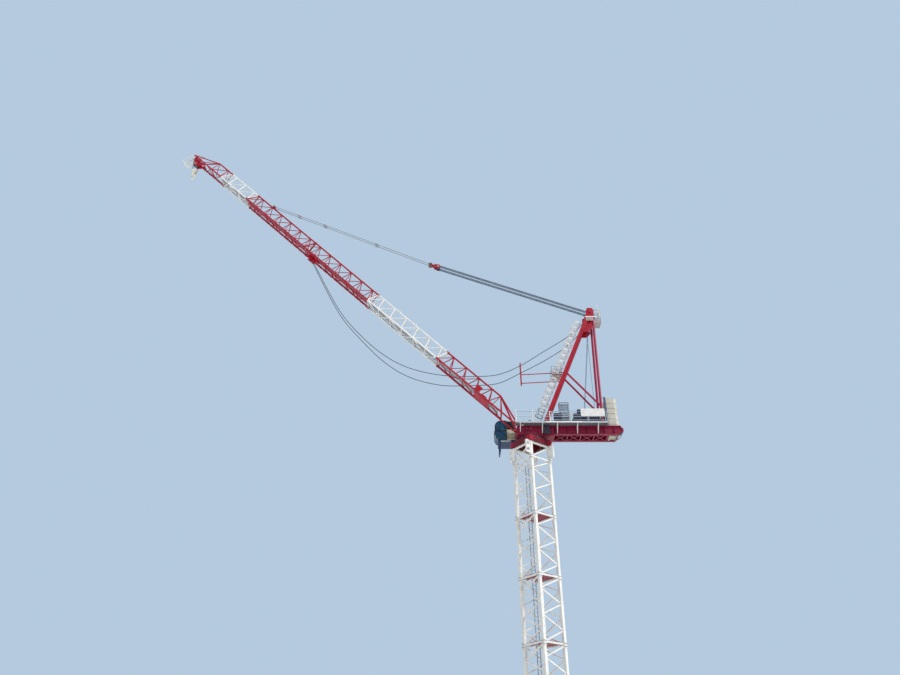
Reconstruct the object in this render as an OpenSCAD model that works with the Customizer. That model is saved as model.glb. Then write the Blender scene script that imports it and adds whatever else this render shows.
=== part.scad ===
// Luffing-jib tower crane, a 1:10 scale model: one millimetre here is ten of the real crane.
// The mast axis is Z, the ground is z = 0 and the jib points along +X.

/* [Mast] */
// Height of one mast section
section_h = 500; // [400:10:600]
// Number of mast sections
sections = 5; // [2:1:8]
// Outer width of the square mast
mast_w = 240; // [200:2:280]
// Side of a square mast leg
leg_w = 24; // [18:1:30]
// Side of a mast brace
mast_brace_w = 10; // [6:0.5:14]
// Zigzag braces on each face of a section
mast_rises = 5; // [3:1:8]
// Height of the cross base below the first section
base_h = 150; // [120:5:200]
// Depth of a cross base beam
base_beam_h = 64; // [50:2:80]
// Reach of a cross base beam from the mast axis
base_reach = 310; // [260:5:360]
// Height of the white head frame on the mast
support_h = 146; // [120:2:180]
// Turn of the mast about its axis against the jib
mast_turn = 37; // [0:1:90]

/* [Slewing platform] */
// Height of the red seat on the mast head
seat_h = 58; // [40:1:70]
// Width of the square red seat
seat_w = 256; // [244:2:270]
// Height of the slewing ring
ring_h = 21; // [16:1:30]
// Outer radius of the slewing ring
ring_r = 112; // [100:1:118]
// Teeth round the slewing ring
ring_teeth = 72; // [48:4:96]
// Depth of the slewing platform
deck_h = 100; // [80:1:120]
// Width of the slewing platform and the counter-jib
deck_w = 170; // [150:2:200]
// Front edge of the platform deck from the mast axis
deck_front = 78; // [70:1:80]
// Rear end of the counter-jib from the mast axis
tail_x = -830; // [-900:5:-780]
// Depth of a counter-jib girder
girder_h = 85; // [60:1:95]
// Flange width of a counter-jib girder
girder_w = 30; // [20:1:40]
// Width of the side walkway
walk_w = 70; // [50:1:90]
// Height of the railing above the walkway
rail_h = 108; // [95:1:120]
// Spacing of the railing posts
post_gap = 160; // [100:5:220]

/* [Counterweight] */
// Number of ballast blocks
block_count = 7; // [4:1:10]
// Height of one ballast block
block_h = 53; // [40:1:60]
// Length of a ballast block along the crane
block_l = 106; // [80:1:130]
// Width of a ballast block across the crane
block_w = 104; // [90:1:104]

/* [A-frame] */
// Height of the head sheave axis above the jib foot pin
apex_up = 1280; // [1000:10:1400]
// Distance of the head sheave axis behind the mast axis
apex_back = 670; // [600:5:720]
// Side of a front leg
a_leg_w = 38; // [30:1:44]
// Diameter of a rear strut
strut_d = 22; // [16:1:26]
// Distance of the front leg foot behind the mast axis
a_foot_back = 120; // [105:5:150]

/* [Jib] */
// Luffing angle of the jib above level
jib_angle = 44.2; // [30:0.1:60]
// Length of one lattice bay
bay = 166; // [150:1:180]
// Length of the foot section
foot_len = 1040; // [1000:5:1080]
// Spacing of the two bottom chords
jib_w = 150; // [130:1:170]
// Height of the top chord over the bottom chords
jib_h = 150; // [130:1:170]
// Diameter of a chord
chord_d = 15.2; // [11:0.1:18]
// Side of a jib brace
brace_w = 6.8; // [5:0.1:9]
// Distance of the foot pin in front of the mast axis
foot_x = 104; // [102:1:110]

/* [Pendants and hook] */
// Place of the pendant lug along the jib
lug_s = 3767; // [3600:5:3900]
// Length of the pendants between their pins
pendant_len = 1917; // [1800:1:2000]
// Sag of the floating block below the straight line
block_sag = 60; // [0:1:80]
// Radius of a luffing sheave at the rope
sheave_r = 17; // [15:1:24]
// Diameter of the luffing rope
rope_d = 3; // [2:0.2:3.4]
// Diameter of a slack rope
slack_d = 6; // [4:0.5:8]

/* [Cab] */
// Length of the cab along the crane
cab_l = 198; // [170:1:210]
// Width of the cab
cab_w = 140; // [120:1:160]
// Height of the cab
cab_h = 195; // [180:1:220]

/* [Hidden] */
$fn = 48;

RED = "#b5122b";
MAROON = "#7d1030";
WHITE = "#eef2ee";
STEEL = "#aeb4b4";
NAVY = "#14203f";
CREAM = "#d8d4bd";

// Place of the ballast stack in the tail
ballast_x = tail_x + 20;

// Levels of the mast and the platform
mast_z = base_h + sections * section_h;
seat_z = mast_z + support_h;
ring_z = seat_z + seat_h;
deck_z = ring_z + ring_h;
deck_top = deck_z + deck_h;
foot_drop = 10;
foot_z = deck_top - foot_drop;
ballast_z = deck_top - girder_h + 9;

// Leg centres of the mast and the pitch of its zigzag braces
leg_c = (mast_w - leg_w) / 2;
rise_h = 98;
first_rise = 5;
tie_w = 12;

// Jib stations from the foot pin
tip_len = 3 * bay;
s_2 = foot_len;
s_3 = s_2 + 6 * bay;
s_4 = s_3 + 6 * bay;
s_5 = s_4 + 6 * bay;
s_6 = s_5 + 3 * bay;
s_end = s_6 + tip_len;
knee_s = foot_len - 4.15 * bay;
half_w = jib_w / 2;
lug_n = jib_h + 15;
pin_r = 8;
pin_fit = 0.1;

// Lugs of the platform for the jib foot, two on each side of a boss
lug_t = 10;
boss_gap = 26;
lug_out = half_w + boss_gap / 2 + lug_t;

// Luffing tackle: the pendant pin, the floating block pin and the head sheave axis
foot = [foot_x, 0, foot_z];
apex = [-apex_back, 0, foot_z + apex_up];
lug = jib_point(lug_s, 0, lug_n);
block_pin = lug + (apex - lug) / norm(apex - lug) * pendant_len - [0, 0, block_sag];
pendant_run = norm(lug - block_pin);
falls_dir = (block_pin - apex) / norm(block_pin - apex);
block_sheave_x = 90;
block_axis = block_pin - falls_dir * block_sheave_x;
falls_len = norm(block_axis - apex);
sheave_n = 5;
sheave_pitch = 8;
pendant_y = 16;
eye_play = 9;
rope_seat = 1.6;

// Tip sheave and hook block
tip_s = s_end - 65;
tip_n = -55;
tip_sheave_r = 26;
tip = jib_point(tip_s, 0, tip_n);
hook_drop = 105;
fall_y = 8;

// Where a point of the jib lies in the crane frame
function jib_point(s, y, n) =
    [foot_x + s * cos(jib_angle) - n * sin(jib_angle), y,
     foot_z + s * sin(jib_angle) + n * cos(jib_angle)];

function mix(a, b, t) = a + (b - a) * t;

// A straight bar of few sides between two points, w across its flats
module bar(a, b, w, sides = 4) {
    v = b - a;
    turn = 180 / sides;
    translate(a)
        rotate([0, acos(v[2] / norm(v)), atan2(v[1], v[0])])
            rotate([0, 0, turn])
                cylinder(h = norm(v), d = w / cos(turn), $fn = sides);
}

// A box centred on x and y, standing on z = 0
module block(size, at = [0, 0, 0]) {
    translate([at[0] - size[0] / 2, at[1] - size[1] / 2, at[2]]) cube(size);
}

// A round pin along Y, centred on the crane's middle plane
module pin_y(r, len) {
    rotate([90, 0, 0]) cylinder(h = len, r = r, center = true);
}

module at_jib() {
    translate(foot) rotate([0, -jib_angle, 0]) children();
}

// A frame in the crane's middle plane whose x runs from one point to another
module along(from, to) {
    translate(from) rotate([0, -atan2(to[2] - from[2], to[0] - from[0]), 0]) children();
}

module at_mast(z) {
    translate([0, 0, z]) rotate([0, 0, mast_turn]) children();
}

// Mast

module base_cross() {
    flange = 6;
    beam_w = 40;
    web = 10;
    pad = 70;
    bolt_r = 5;
    bolt_in = 22;
    color(WHITE)
        at_mast(0)
            difference() {
                union() {
                    for (turn = [45, 135])
                        rotate([0, 0, turn]) {
                            block([2 * base_reach, beam_w, flange]);
                            block([2 * base_reach - 90, beam_w, flange], [0, 0, base_beam_h - flange]);
                            for (side = [-1, 1])
                                block([2 * base_reach - 90, web, base_beam_h], [0, side * (beam_w - web) / 2, 0]);
                        }
                    for (turn = [45:90:315])
                        rotate([0, 0, turn]) {
                            block([leg_w * 2, leg_w * 2, flange], [leg_c * sqrt(2), 0, base_beam_h]);
                            block([pad, pad, flange], [base_reach - pad / 2, 0, 0]);
                        }
                    for (x = [-1, 1], y = [-1, 1])
                        block([leg_w, leg_w, base_h - base_beam_h], [x * leg_c, y * leg_c, base_beam_h]);
                    for (turn = [0:90:270])
                        rotate([0, 0, turn]) {
                            bar([-leg_c, -leg_c, base_h - 8], [leg_c, -leg_c, base_h - 8], tie_w);
                            bar([-leg_c, -leg_c, base_beam_h + 8], [0, -leg_c, base_h - 10], mast_brace_w);
                            bar([leg_c, -leg_c, base_beam_h + 8], [0, -leg_c, base_h - 10], mast_brace_w);
                        }
                }
                for (turn = [45:90:315])
                    rotate([0, 0, turn])
                        translate([base_reach - bolt_in, 0, -1]) cylinder(h = flange + 2, r = bolt_r);
            }
}

module mast_section(i) {
    z0 = base_h + (i - 1) * section_h;
    joint_w = leg_w + 6;
    joint_h = 22;
    color(WHITE)
        at_mast(z0)
            for (turn = [0:90:270])
                rotate([0, 0, turn]) {
                    block([leg_w, leg_w, section_h], [leg_c, leg_c, 0]);
                    block([joint_w, joint_w, joint_h], [leg_c, leg_c, 0]);
                    block([joint_w, joint_w, joint_h], [leg_c, leg_c, section_h - joint_h]);
                    bar([-leg_c, leg_c, tie_w / 2], [leg_c, leg_c, tie_w / 2], tie_w);
                    for (k = [0:mast_rises - 1]) {
                        side = k % 2 == 0 ? 1 : -1;
                        bar([side * leg_c, leg_c, first_rise + k * rise_h],
                            [-side * leg_c, leg_c, first_rise + (k + 1) * rise_h], mast_brace_w);
                    }
                }
}

landing_t = 4;
ladder_y = -70;
ladder_gap = 36;
hatch = 60;

module mast_ladder() {
    rung_gap = 30;
    low = base_beam_h;
    top = mast_z - 20;
    color(STEEL)
        at_mast(0) {
            for (x = [-1, 1]) block([4, 6, top - low], [x * ladder_gap / 2, ladder_y, low]);
            for (z = [low + 20:rung_gap:top - 10])
                bar([-ladder_gap / 2, ladder_y, z], [ladder_gap / 2, ladder_y, z], 2.5, 6);
            for (i = [1:sections])
                block([hatch + 12, 4, 4], [0, ladder_y, base_h + (i - 1) * section_h + tie_w + landing_t]);
        }
}

module mast_landings() {
    inner = leg_c - leg_w / 2 - 4;
    edge = leg_c - tie_w / 2 - 1;
    tongue = 90;
    color(MAROON)
        for (i = [1:sections])
            at_mast(base_h + (i - 1) * section_h + tie_w)
                difference() {
                    union() {
                        block([2 * edge, 2 * inner, landing_t]);
                        block([2 * inner, 2 * edge, landing_t]);
                        block([tongue, 2 * leg_c + tie_w, landing_t]);
                        block([2 * leg_c + tie_w, tongue, landing_t]);
                    }
                    block([hatch, hatch, landing_t + 2], [0, ladder_y - 5, -1]);
                }
}

// The white top of the mast, with a climbing bracket on each corner
module mast_head() {
    top_w = 16;
    lug_out = 46;
    lug_h = 116;
    lug_t = 16;
    window = 28;
    color(WHITE)
        at_mast(mast_z)
            for (turn = [0:90:270])
                rotate([0, 0, turn]) {
                    block([leg_w, leg_w, support_h], [leg_c, leg_c, 0]);
                    block([leg_w + 6, leg_w + 6, 22], [leg_c, leg_c, 0]);
                    bar([-leg_c, leg_c, tie_w / 2], [leg_c, leg_c, tie_w / 2], tie_w);
                    bar([-leg_c, leg_c, support_h - top_w / 2], [leg_c, leg_c, support_h - top_w / 2], top_w - 1);
                    bar([leg_c, leg_c, first_rise], [-leg_c, leg_c, support_h - top_w], mast_brace_w);
                    translate([leg_c + (leg_w + lug_out) / 2, leg_c, support_h - lug_h])
                        difference() {
                            block([lug_out, lug_t, lug_h]);
                            for (z = [16, lug_h - 16 - window]) block([window, lug_t + 2, window], [2, 0, z]);
                        }
                }
}

module slewing_seat() {
    plate = 8;
    color(RED)
        at_mast(seat_z)
            difference() {
                union() {
                    block([seat_w, seat_w, seat_h - plate]);
                    block([seat_w - 6, seat_w - 6, seat_h]);
                }
                translate([0, 0, -1]) cylinder(h = seat_h + 2, r = ring_r - 30);
                translate([0, 0, -1])
                    difference() {
                        block([seat_w - 2 * plate, seat_w - 2 * plate, seat_h - plate + 1]);
                        translate([0, 0, -1]) cylinder(h = seat_h, r = ring_r - 22);
                    }
            }
}

module slewing_gear_ring() {
    tooth_h = 4;
    step = 360 / ring_teeth;
    root_r = ring_r - tooth_h;
    outline = [for (k = [0:ring_teeth - 1], c = [[root_r, -0.35], [ring_r, -0.2], [ring_r, 0.2], [root_r, 0.35]])
        c[0] * [cos((k + c[1]) * step), sin((k + c[1]) * step)]];
    color(STEEL)
        translate([0, 0, ring_z])
            difference() {
                union() {
                    linear_extrude(ring_h * 0.7) polygon(outline);
                    cylinder(h = ring_h, r = root_r - 6);
                }
                translate([0, 0, -1]) cylinder(h = ring_h + 2, r = ring_r - 30);
            }
}

// Slewing platform and counter-jib

module slewing_platform() {
    back = -200;
    bore_r = 60;
    nose_x = foot_x + 24;
    nose_top = foot_z - pin_r - 20;
    color(MAROON)
        difference() {
            union() {
                translate([back, -deck_w / 2, deck_z])
                    cube([deck_front - back, deck_w, deck_h]);
                translate([deck_front - 10, -lug_out, deck_z + 5])
                    cube([nose_x - deck_front + 10, 2 * lug_out, nose_top - deck_z - 5]);
                translate([0, 0, deck_z]) cylinder(h = 20, r = ring_r);
                for (side = [-1, 1], face = [-1, 1])
                    translate([0, side * half_w + face * (boss_gap + lug_t) / 2, 0])
                        rotate([90, 0, 0])
                            linear_extrude(lug_t, center = true)
                                union() {
                                    translate([foot_x, foot_z]) circle(r = pin_r + 14);
                                    polygon([[deck_front - 8, nose_top - 10], [nose_x - 1, nose_top - 10],
                                             [nose_x - 1, foot_z], [deck_front - 8, foot_z + 5]]);
                                }
            }
            translate([0, 0, deck_z - 1]) cylinder(h = deck_h + 2, r = bore_r);
        }
    color(STEEL)
        for (side = [-1, 1]) translate(foot + [0, side * half_w, 0]) pin_y(pin_r, boss_gap + 2 * lug_t);
}

module slewing_drives() {
    drive_r = 18;
    drive_h = 36;
    color(MAROON)
        for (side = [-1, 1])
            translate([5, side * 62, deck_top]) {
                cylinder(h = 12, r = drive_r + 4);
                cylinder(h = drive_h, r = drive_r);
                cylinder(h = drive_h + 10, r = drive_r - 7);
            }
}

module girder(length) {
    web = 6;
    flange = 6;
    block([length, web, girder_h], [length / 2, 0, 0]);
    for (z = [0, girder_h - flange]) block([length, girder_w, flange], [length / 2, 0, z]);
}

// The pointed end of the tail, seen from the side
module tail_cut() {
    rise = 34;
    drop = 30;
    rotate([90, 0, 0])
        linear_extrude(2 * deck_w, center = true)
            polygon([[57, -1], [-1, -1], [-1, girder_h + 1], [29, girder_h + 1], [28, girder_h],
                     [0, girder_h - drop], [0, rise], [56, 0]]);
}

module counter_jib() {
    start = -200;
    length = start - tail_x;
    girder_y = (deck_w - girder_w) / 2;
    panels = 4;
    bay_0 = ballast_x + block_l + 16 - tail_x;
    color(MAROON)
        translate([tail_x, 0, deck_top - girder_h]) {
            difference() {
                union() {
                    for (side = [-1, 1]) translate([0, side * girder_y, 0]) girder(length);
                    translate([0, -girder_y, 36]) cube([8, 2 * girder_y, 16]);
                }
                tail_cut();
            }
            for (k = [0:panels])
                translate([mix(bay_0, length - 10, k / panels) - 5, -girder_y, 0]) cube([10, 2 * girder_y, 12]);
            for (k = [0:panels - 1], side = [-1, 1])
                bar([mix(bay_0, length - 10, k / panels), side * girder_y, 6],
                    [mix(bay_0, length - 10, (k + 1) / panels), -side * girder_y, 6], 8);
        }
}

module centre_deck() {
    sheet = 4;
    start = ballast_x + block_l + 8;
    color(STEEL)
        translate([start, -deck_w / 2 + girder_w, deck_top - sheet])
            cube([-200 - start, deck_w - 2 * girder_w, sheet]);
}

walk_start = tail_x + 150;
walk_end = 145;
cab_side_end = 20;

// Brackets under the walkways, at the white posts on the girders
bracket_x = [-600, -414, -235, -101, 96];

module side_walkways() {
    sheet = 4;
    lug_clear = 22;
    high = girder_h - 6 - sheet;
    color(STEEL)
        for (side = [-1, 1])
            translate([0, side * (deck_w + walk_w) / 2, 0]) {
                far_end = side < 0 ? cab_side_end : walk_end;
                difference() {
                    translate([walk_start, -walk_w / 2, deck_top - sheet])
                        cube([far_end - walk_start, walk_w, sheet]);
                    translate([deck_front - 12, -side * walk_w / 2 - lug_clear, deck_top - 10])
                        cube([100, 2 * lug_clear, 20]);
                }
                for (x = [for (x = bracket_x) if (x < far_end) x])
                    translate([x, -side * walk_w / 2, deck_top - girder_h + 6])
                        rotate([90, 0, side > 0 ? 90 : -90])
                            linear_extrude(5)
                                difference() {
                                    polygon([[0, 0], [5, 0], [walk_w, high], [0, high]]);
                                    if (x > deck_front) translate([-1, -1]) square([lug_out - deck_w / 2 + 1, high + 2]);
                                }
            }
}

module rail_run(x0, x1, y) {
    tube = 4;
    post = 5;
    posts = max(1, round((x1 - x0) / post_gap));
    for (k = [0:posts])
        block([post, post, rail_h - tube / 2], [mix(x0, x1, k / posts), y, deck_top]);
    for (z = [rail_h - tube / 2, rail_h / 2])
        translate([x0, y - tube / 2, deck_top + z - tube / 2]) cube([x1 - x0, tube, tube]);
}

module railings() {
    color(WHITE) {
        rail_run(walk_start + 3, walk_end - 3, deck_w / 2 + walk_w - 3);
        rail_run(walk_start + 3, cab_side_end - 3, -deck_w / 2 - walk_w + 3);
    }
}

// Counterweight

module ballast_blocks() {
    corner = 30;
    joint = 0.5;
    color(CREAM)
        for (i = [0:block_count - 1])
            translate([ballast_x, 0, ballast_z + i * block_h])
                linear_extrude(block_h - joint)
                    polygon([[corner, -block_w / 2], [block_l, -block_w / 2], [block_l, block_w / 2],
                             [corner, block_w / 2], [0, block_w / 2 - corner], [0, corner - block_w / 2]]);
}

module ballast_frame() {
    strap = 3;
    beam_h = 8;
    hook_over = 14;
    post_w = 18;
    color(STEEL) {
        for (x = [ballast_x + 36, ballast_x + block_l - 10]) {
            block([12, block_w + 2 * strap, beam_h], [x, 0, ballast_z - beam_h]);
            for (side = [-1, 1]) {
                block([12, strap, deck_top + strap - ballast_z + beam_h],
                      [x, side * (block_w + strap) / 2, ballast_z - beam_h]);
                block([12, hook_over, strap], [x, side * (block_w + hook_over) / 2, deck_top]);
            }
        }
        for (side = [-1, 1]) {
            translate([ballast_x + 30, side * 30 - 5, ballast_z - beam_h]) cube([block_l - 34, 10, beam_h]);
            block([post_w, 10, ballast_z + block_count * block_h - deck_top],
                  [ballast_x + block_l + post_w / 2 + 1, side * (deck_w - girder_w) / 2, deck_top]);
        }
    }
}

// A-frame

a_foot_y = 68;
a_head_y = 58;
head_low = apex[2] - 80;
a_ties = [0.2, 0.36, 0.55, 0.75];
a_tie_w = 14;

// A point on the middle line of a front leg, t from the foot to the head
function a_leg_at(t, side) =
    mix([-a_foot_back, side * a_foot_y, deck_top], [-apex_back + 40, side * a_head_y, head_low], t);

module a_leg(side) {
    bar(a_leg_at(-0.05, side), a_leg_at(1.05, side), a_leg_w);
}

// The space between the deck and the underside of the head
module a_frame_slab() {
    translate([-1.3 * apex_back, -deck_w, deck_top]) cube([1.3 * apex_back, 2 * deck_w, head_low - deck_top]);
}

module a_frame_front_legs() {
    color(RED) {
        intersection() {
            union() {
                for (side = [-1, 1]) a_leg(side);
            }
            a_frame_slab();
        }
        for (side = [-1, 1]) {
            block([a_leg_w + 16, a_leg_w + 8, 8], [-a_foot_back, side * (a_foot_y - 2), deck_top]);
            translate([-apex_back, side * a_head_y, head_low])
                rotate([90, 0, 0])
                    linear_extrude(10, center = true)
                        polygon([[60, 0], [-4, 0], [-4, -115], [40, -156], [100, -156]]);
        }
        block([56, 2 * a_head_y, 80], [38 - apex_back, 0, head_low - 94]);
        for (t = a_ties) bar(a_leg_at(t, -1), a_leg_at(t, 1), a_tie_w);
    }
}

module a_frame_rear_struts() {
    rear_x = -650;
    rear_y = deck_w / 2 - 12;
    color(RED)
        difference() {
            intersection() {
                union() {
                    for (side = [-1, 1]) {
                        foot_at = [rear_x, side * rear_y, deck_top];
                        top_at = [-apex_back - 22, side * a_head_y, head_low];
                        bar(mix(foot_at, top_at, -0.05), mix(foot_at, top_at, 1.05), strut_d, 8);
                        bar(mix(foot_at, top_at, 0.17), a_leg_at(0.48, side), strut_d - 5, 8);
                        block([44, 24, 8], foot_at);
                    }
                    bar([rear_x - 4, -rear_y, deck_top + 100], [rear_x - 4, rear_y, deck_top + 100], 10);
                }
                a_frame_slab();
            }
            for (side = [-1, 1]) a_leg(side);
        }
}

module a_frame_head() {
    plate = 8;
    base = 12;
    lead = 84;
    color(RED)
        difference() {
            union() {
                for (side = [-1, 1])
                    translate([0, side * (a_head_y - 2), 0])
                        rotate([90, 0, 0])
                            linear_extrude(plate, center = true)
                                polygon([[-apex_back - 34, apex[2] + 30], [-apex_back - 20, apex[2] + 44],
                                         [-apex_back + 24, apex[2] + 44], [-apex_back + 36, apex[2] + 20],
                                         [-apex_back + 52, head_low], [-apex_back - 34, head_low]]);
                translate([-apex_back - 40, -a_head_y - 18, head_low]) cube([100, 2 * a_head_y + 36, base]);
                translate([-apex_back + 20, -lead - 10, head_low]) cube([36, lead + 10 - a_head_y, 72]);
            }
            translate(apex) pin_y(pin_r - 1 + pin_fit, 4 * a_head_y);
            for (p = [upper_route, lower_route]) bar(p[0], mix(p[0], p[1], 0.7), slack_d + 5, 24);
        }
}

// Service cage behind the head, hung from its base plate
module head_platform() {
    post = 5;
    rail = 4;
    length = 62;
    half = 44;
    low = head_low - 50;
    high = head_low + 110;
    guard_h = 44;
    color(STEEL)
        translate([-apex_back - 40, 0, 0]) {
            block([length, 2 * half + post, 3], [-length / 2, 0, low]);
            for (x = [-post / 2, post / 2 - length], y = [-half, half])
                block([post, post, high - low], [x, y, low]);
            for (z = [head_low + 4, high - 50, high - rail]) {
                for (y = [-half, half]) block([length - 2, rail, rail], [-length / 2, y, z]);
                block([rail, 2 * half, rail], [post / 2 - length, 0, z]);
            }
            block([rail, 2 * half, rail], [-post / 2, 0, head_low + 4]);
            for (y = [-half, half]) block([length - 2, 2, guard_h], [-length / 2, y, low]);
            block([2, 2 * half, guard_h], [post / 2 - length, 0, low]);
        }
}

module caged_ladder() {
    out = 54;
    gap = 40;
    cage_r = 36;
    hoops = 17;
    hoop_h = 9;
    first_hoop = 80;
    landing = [96, 92, 5];
    landing_at = a_leg_at(0.455, 0);
    low = a_leg_at(0.04, 0) + [out, 0, 0];
    high = a_leg_at(0.97, 0) + [out, 0, 0];
    lean = atan2(high[0] - low[0], high[2] - low[2]);
    len = norm(high - low);
    color(STEEL) {
        translate(low) rotate([0, lean, 0]) {
            for (side = [-1, 1]) bar([0, side * gap / 2, 0], [0, side * gap / 2, len], 4);
            for (z = [10:30:len - 5]) bar([0, -gap / 2, z], [0, gap / 2, z], 2.5, 6);
            for (k = [0:hoops - 1])
                translate([cage_r - 8, 0, mix(first_hoop, len - hoop_h / 2, k / (hoops - 1))])
                    difference() {
                        cylinder(h = hoop_h, r = cage_r, center = true);
                        cylinder(h = hoop_h + 2, r = cage_r - 3, center = true);
                    }
            for (turn = [-60, 0, 60])
                translate([cage_r - 8, 0, first_hoop])
                    rotate([0, 0, turn]) block([3, 4, len - first_hoop - hoop_h / 2], [cage_r - 1.5, 0, 0]);
        }
        for (t = a_ties, side = [-1, 1])
            bar(a_leg_at(t, 0) + [a_tie_w / 2, side * gap / 2, 0], a_leg_at(t, 0) + [out, side * gap / 2, 0], 3);
        block(landing, landing_at + [landing[0] / 2 + a_leg_w / 2 + 2, 0, 0]);
    }
}

// Two uprights that keep the slack ropes between them, on arms from the far leg
module rope_guide_arm() {
    guide = [39, -118, apex[2] - 0.58 * apex_up];
    guide_len = 240;
    post_w = 10;
    slot = 14;
    color(RED) {
        difference() {
            for (lift = [[12, 0.455], [107, 0.535]])
                bar(guide + [0, slot, lift[0]], a_leg_at(lift[1], -1), 8, 8);
            a_leg(-1);
        }
        for (side = [-1, 1])
            bar(guide + [0, side * slot, 0], guide + [0, side * slot, guide_len], post_w);
        for (lift = [5, 0.72 * guide_len, guide_len - 5])
            bar(guide + [0, -slot, lift], guide + [0, slot, lift], 7);
    }
}

// Machinery

module winch_frame(length, width, drum_r) {
    cheek = 10;
    for (side = [-1, 1])
        translate([0, side * (width - cheek) / 2, 0])
            rotate([90, 0, 0])
                linear_extrude(cheek, center = true)
                    difference() {
                        polygon([[-length / 2, 0], [length / 2, 0], [length / 2, 48], [length / 2 - 14, 2 * drum_r + 28],
                                 [14 - length / 2, 2 * drum_r + 28], [-length / 2, 48]]);
                        translate([0, drum_r + 18]) circle(r = 6 + pin_fit);
                    }
    translate([-length / 2, -width / 2, 0]) cube([12, width, 12]);
    translate([length / 2 - 12, -width / 2, 0]) cube([12, width, 12]);
}

module winch_drum(width, drum_r) {
    pin_y(6, width - 2);
    pin_y(drum_r - 6, width - 40);
    for (side = [-1, 1]) translate([0, side * (width - 36) / 2, 0]) pin_y(drum_r, 4);
}

hoist_at = [-468, 0, deck_top];
luff_at = [-634, 0, deck_top];
drum_r = 30;
winch_w = 104;

module winch_frames() {
    color(NAVY) {
        translate(hoist_at) winch_frame(188, winch_w, drum_r);
        translate(luff_at) winch_frame(112, winch_w, drum_r);
    }
}

module hoist_winch_drum() {
    color(STEEL) translate(hoist_at + [0, 0, drum_r + 18]) winch_drum(winch_w, drum_r);
}

module luffing_winch_drum() {
    color(STEEL) translate(luff_at + [0, 0, drum_r + 18]) winch_drum(winch_w, drum_r);
}

// The electric motor and pump ahead of the hoist winch
module pump_motor() {
    motor_r = 32;
    motor_l = 60;
    foot_h = 10;
    color(NAVY)
        translate([-212, 20, deck_top]) {
            translate([-motor_l / 2, 0, motor_r + foot_h]) rotate([0, 90, 0]) cylinder(h = motor_l, r = motor_r);
            block([motor_l - 8, 1.4 * motor_r, motor_r + foot_h]);
            translate([motor_l / 2 - 1, 0, motor_r + foot_h]) rotate([0, 90, 0]) cylinder(h = 12, r = motor_r / 2);
        }
}

module mesh_cabinet() {
    length = 90;
    width = 60;
    height = 265;
    slats = 9;
    color(STEEL)
        translate([-325, 0, deck_top]) {
            for (x = [-1, 1], y = [-1, 1])
                block([5, 5, height], [x * (length - 5) / 2, y * (width - 5) / 2, 0]);
            for (z = [0, height / 2, height - 5]) {
                for (y = [-1, 1]) block([length, 5, 5], [0, y * (width - 5) / 2, z]);
                for (x = [-1, 1]) block([5, width, 5], [x * (length - 5) / 2, 0, z]);
            }
            for (k = [1:slats - 1], y = [-1, 1])
                block([3, 3, height], [mix(-length / 2, length / 2, k / slats), y * (width - 5) / 2, 0]);
        }
}

module sign_board() {
    length = 215;
    low = 58;
    height = 76;
    color(WHITE)
        translate([walk_start + 126, deck_w / 2 + walk_w - 0.5, deck_top + low])
            block([length, 3, height], [0, 1.5, 0]);
}

// Cab

cab_x = 111;
cab_y = -112 - cab_w / 2;
cab_z = deck_top - 50;

// Where the glass front begins, from the back of the cab
cab_split = 95;

module cab_outline(inset) {
    nose = 60 - inset;
    union() {
        translate([inset, inset]) square([cab_l - 60 - inset, cab_h - 2 * inset]);
        translate([inset, 60]) square([cab_l - 2 * inset, cab_h - 120]);
        translate([cab_l - 60, 60]) circle(r = nose);
        translate([cab_l - 60, cab_h - 60]) circle(r = nose);
    }
}

module cab_slab(inset, width) {
    translate([cab_x, cab_y, cab_z])
        rotate([90, 0, 0]) linear_extrude(width, center = true) cab_outline(inset);
}

module cab_base() {
    floor_h = 28;
    back = 26;
    arm_l = 40;
    post_w = 10;
    post_drop = 84;
    inner = cab_y + cab_w / 2;
    color(NAVY) {
        translate([back, cab_y - cab_w / 2, cab_z - floor_h])
            cube([cab_x + cab_l - 30 - back, cab_w, floor_h]);
        translate([back, inner, cab_z - floor_h]) cube([arm_l, -deck_w / 2 - inner, floor_h]);
        for (side = [-1, 1])
            block([post_w, post_w, post_drop], [cab_x + cab_l - 42, cab_y + side * (cab_w / 2 - 8), cab_z - floor_h - post_drop]);
        translate([cab_x + cab_l - 46, cab_y - cab_w / 2 + 8, cab_z - floor_h - post_drop]) cube([8, cab_w - 16, 8]);
    }
}

module cab_body() {
    color(CREAM)
        difference() {
            intersection() {
                cab_slab(0, cab_w);
                translate([cab_x - 1, cab_y - cab_w, cab_z - 1]) cube([cab_split + 1, 2 * cab_w, cab_h + 2]);
            }
            translate([cab_x + 6, cab_y - cab_w / 2 + 5, cab_z + 6]) cube([cab_split, cab_w - 10, cab_h - 12]);
        }
}

module cab_glass() {
    color("#1d5f6e")
        difference() {
            intersection() {
                cab_slab(0, cab_w);
                translate([cab_x + cab_split, cab_y - cab_w, cab_z - 1]) cube([cab_l, 2 * cab_w, cab_h + 2]);
            }
            difference() {
                cab_slab(4, cab_w - 8);
                translate([cab_x, cab_y - cab_w, cab_z - 1]) cube([cab_split - 9, 2 * cab_w, cab_h + 2]);
            }
        }
}

// Jib

// Bracing of a run of bays: zigzags on both sides and under the jib
module jib_bays(s0, bays) {
    for (k = [0:bays - 1]) {
        a = s0 + k * bay;
        b = a + bay;
        mid = (a + b) / 2;
        for (side = [-1, 1]) {
            bar([a, side * half_w, 0], [mid, 0, jib_h], brace_w);
            bar([b, side * half_w, 0], [mid, 0, jib_h], brace_w);
        }
        flip = k % 2 == 0 ? 1 : -1;
        bar([a, flip * half_w, 0], [b, -flip * half_w, 0], brace_w);
    }
    for (k = [0:bays])
        bar([s0 + k * bay, -half_w, 0], [s0 + k * bay, half_w, 0], brace_w);
}

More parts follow.
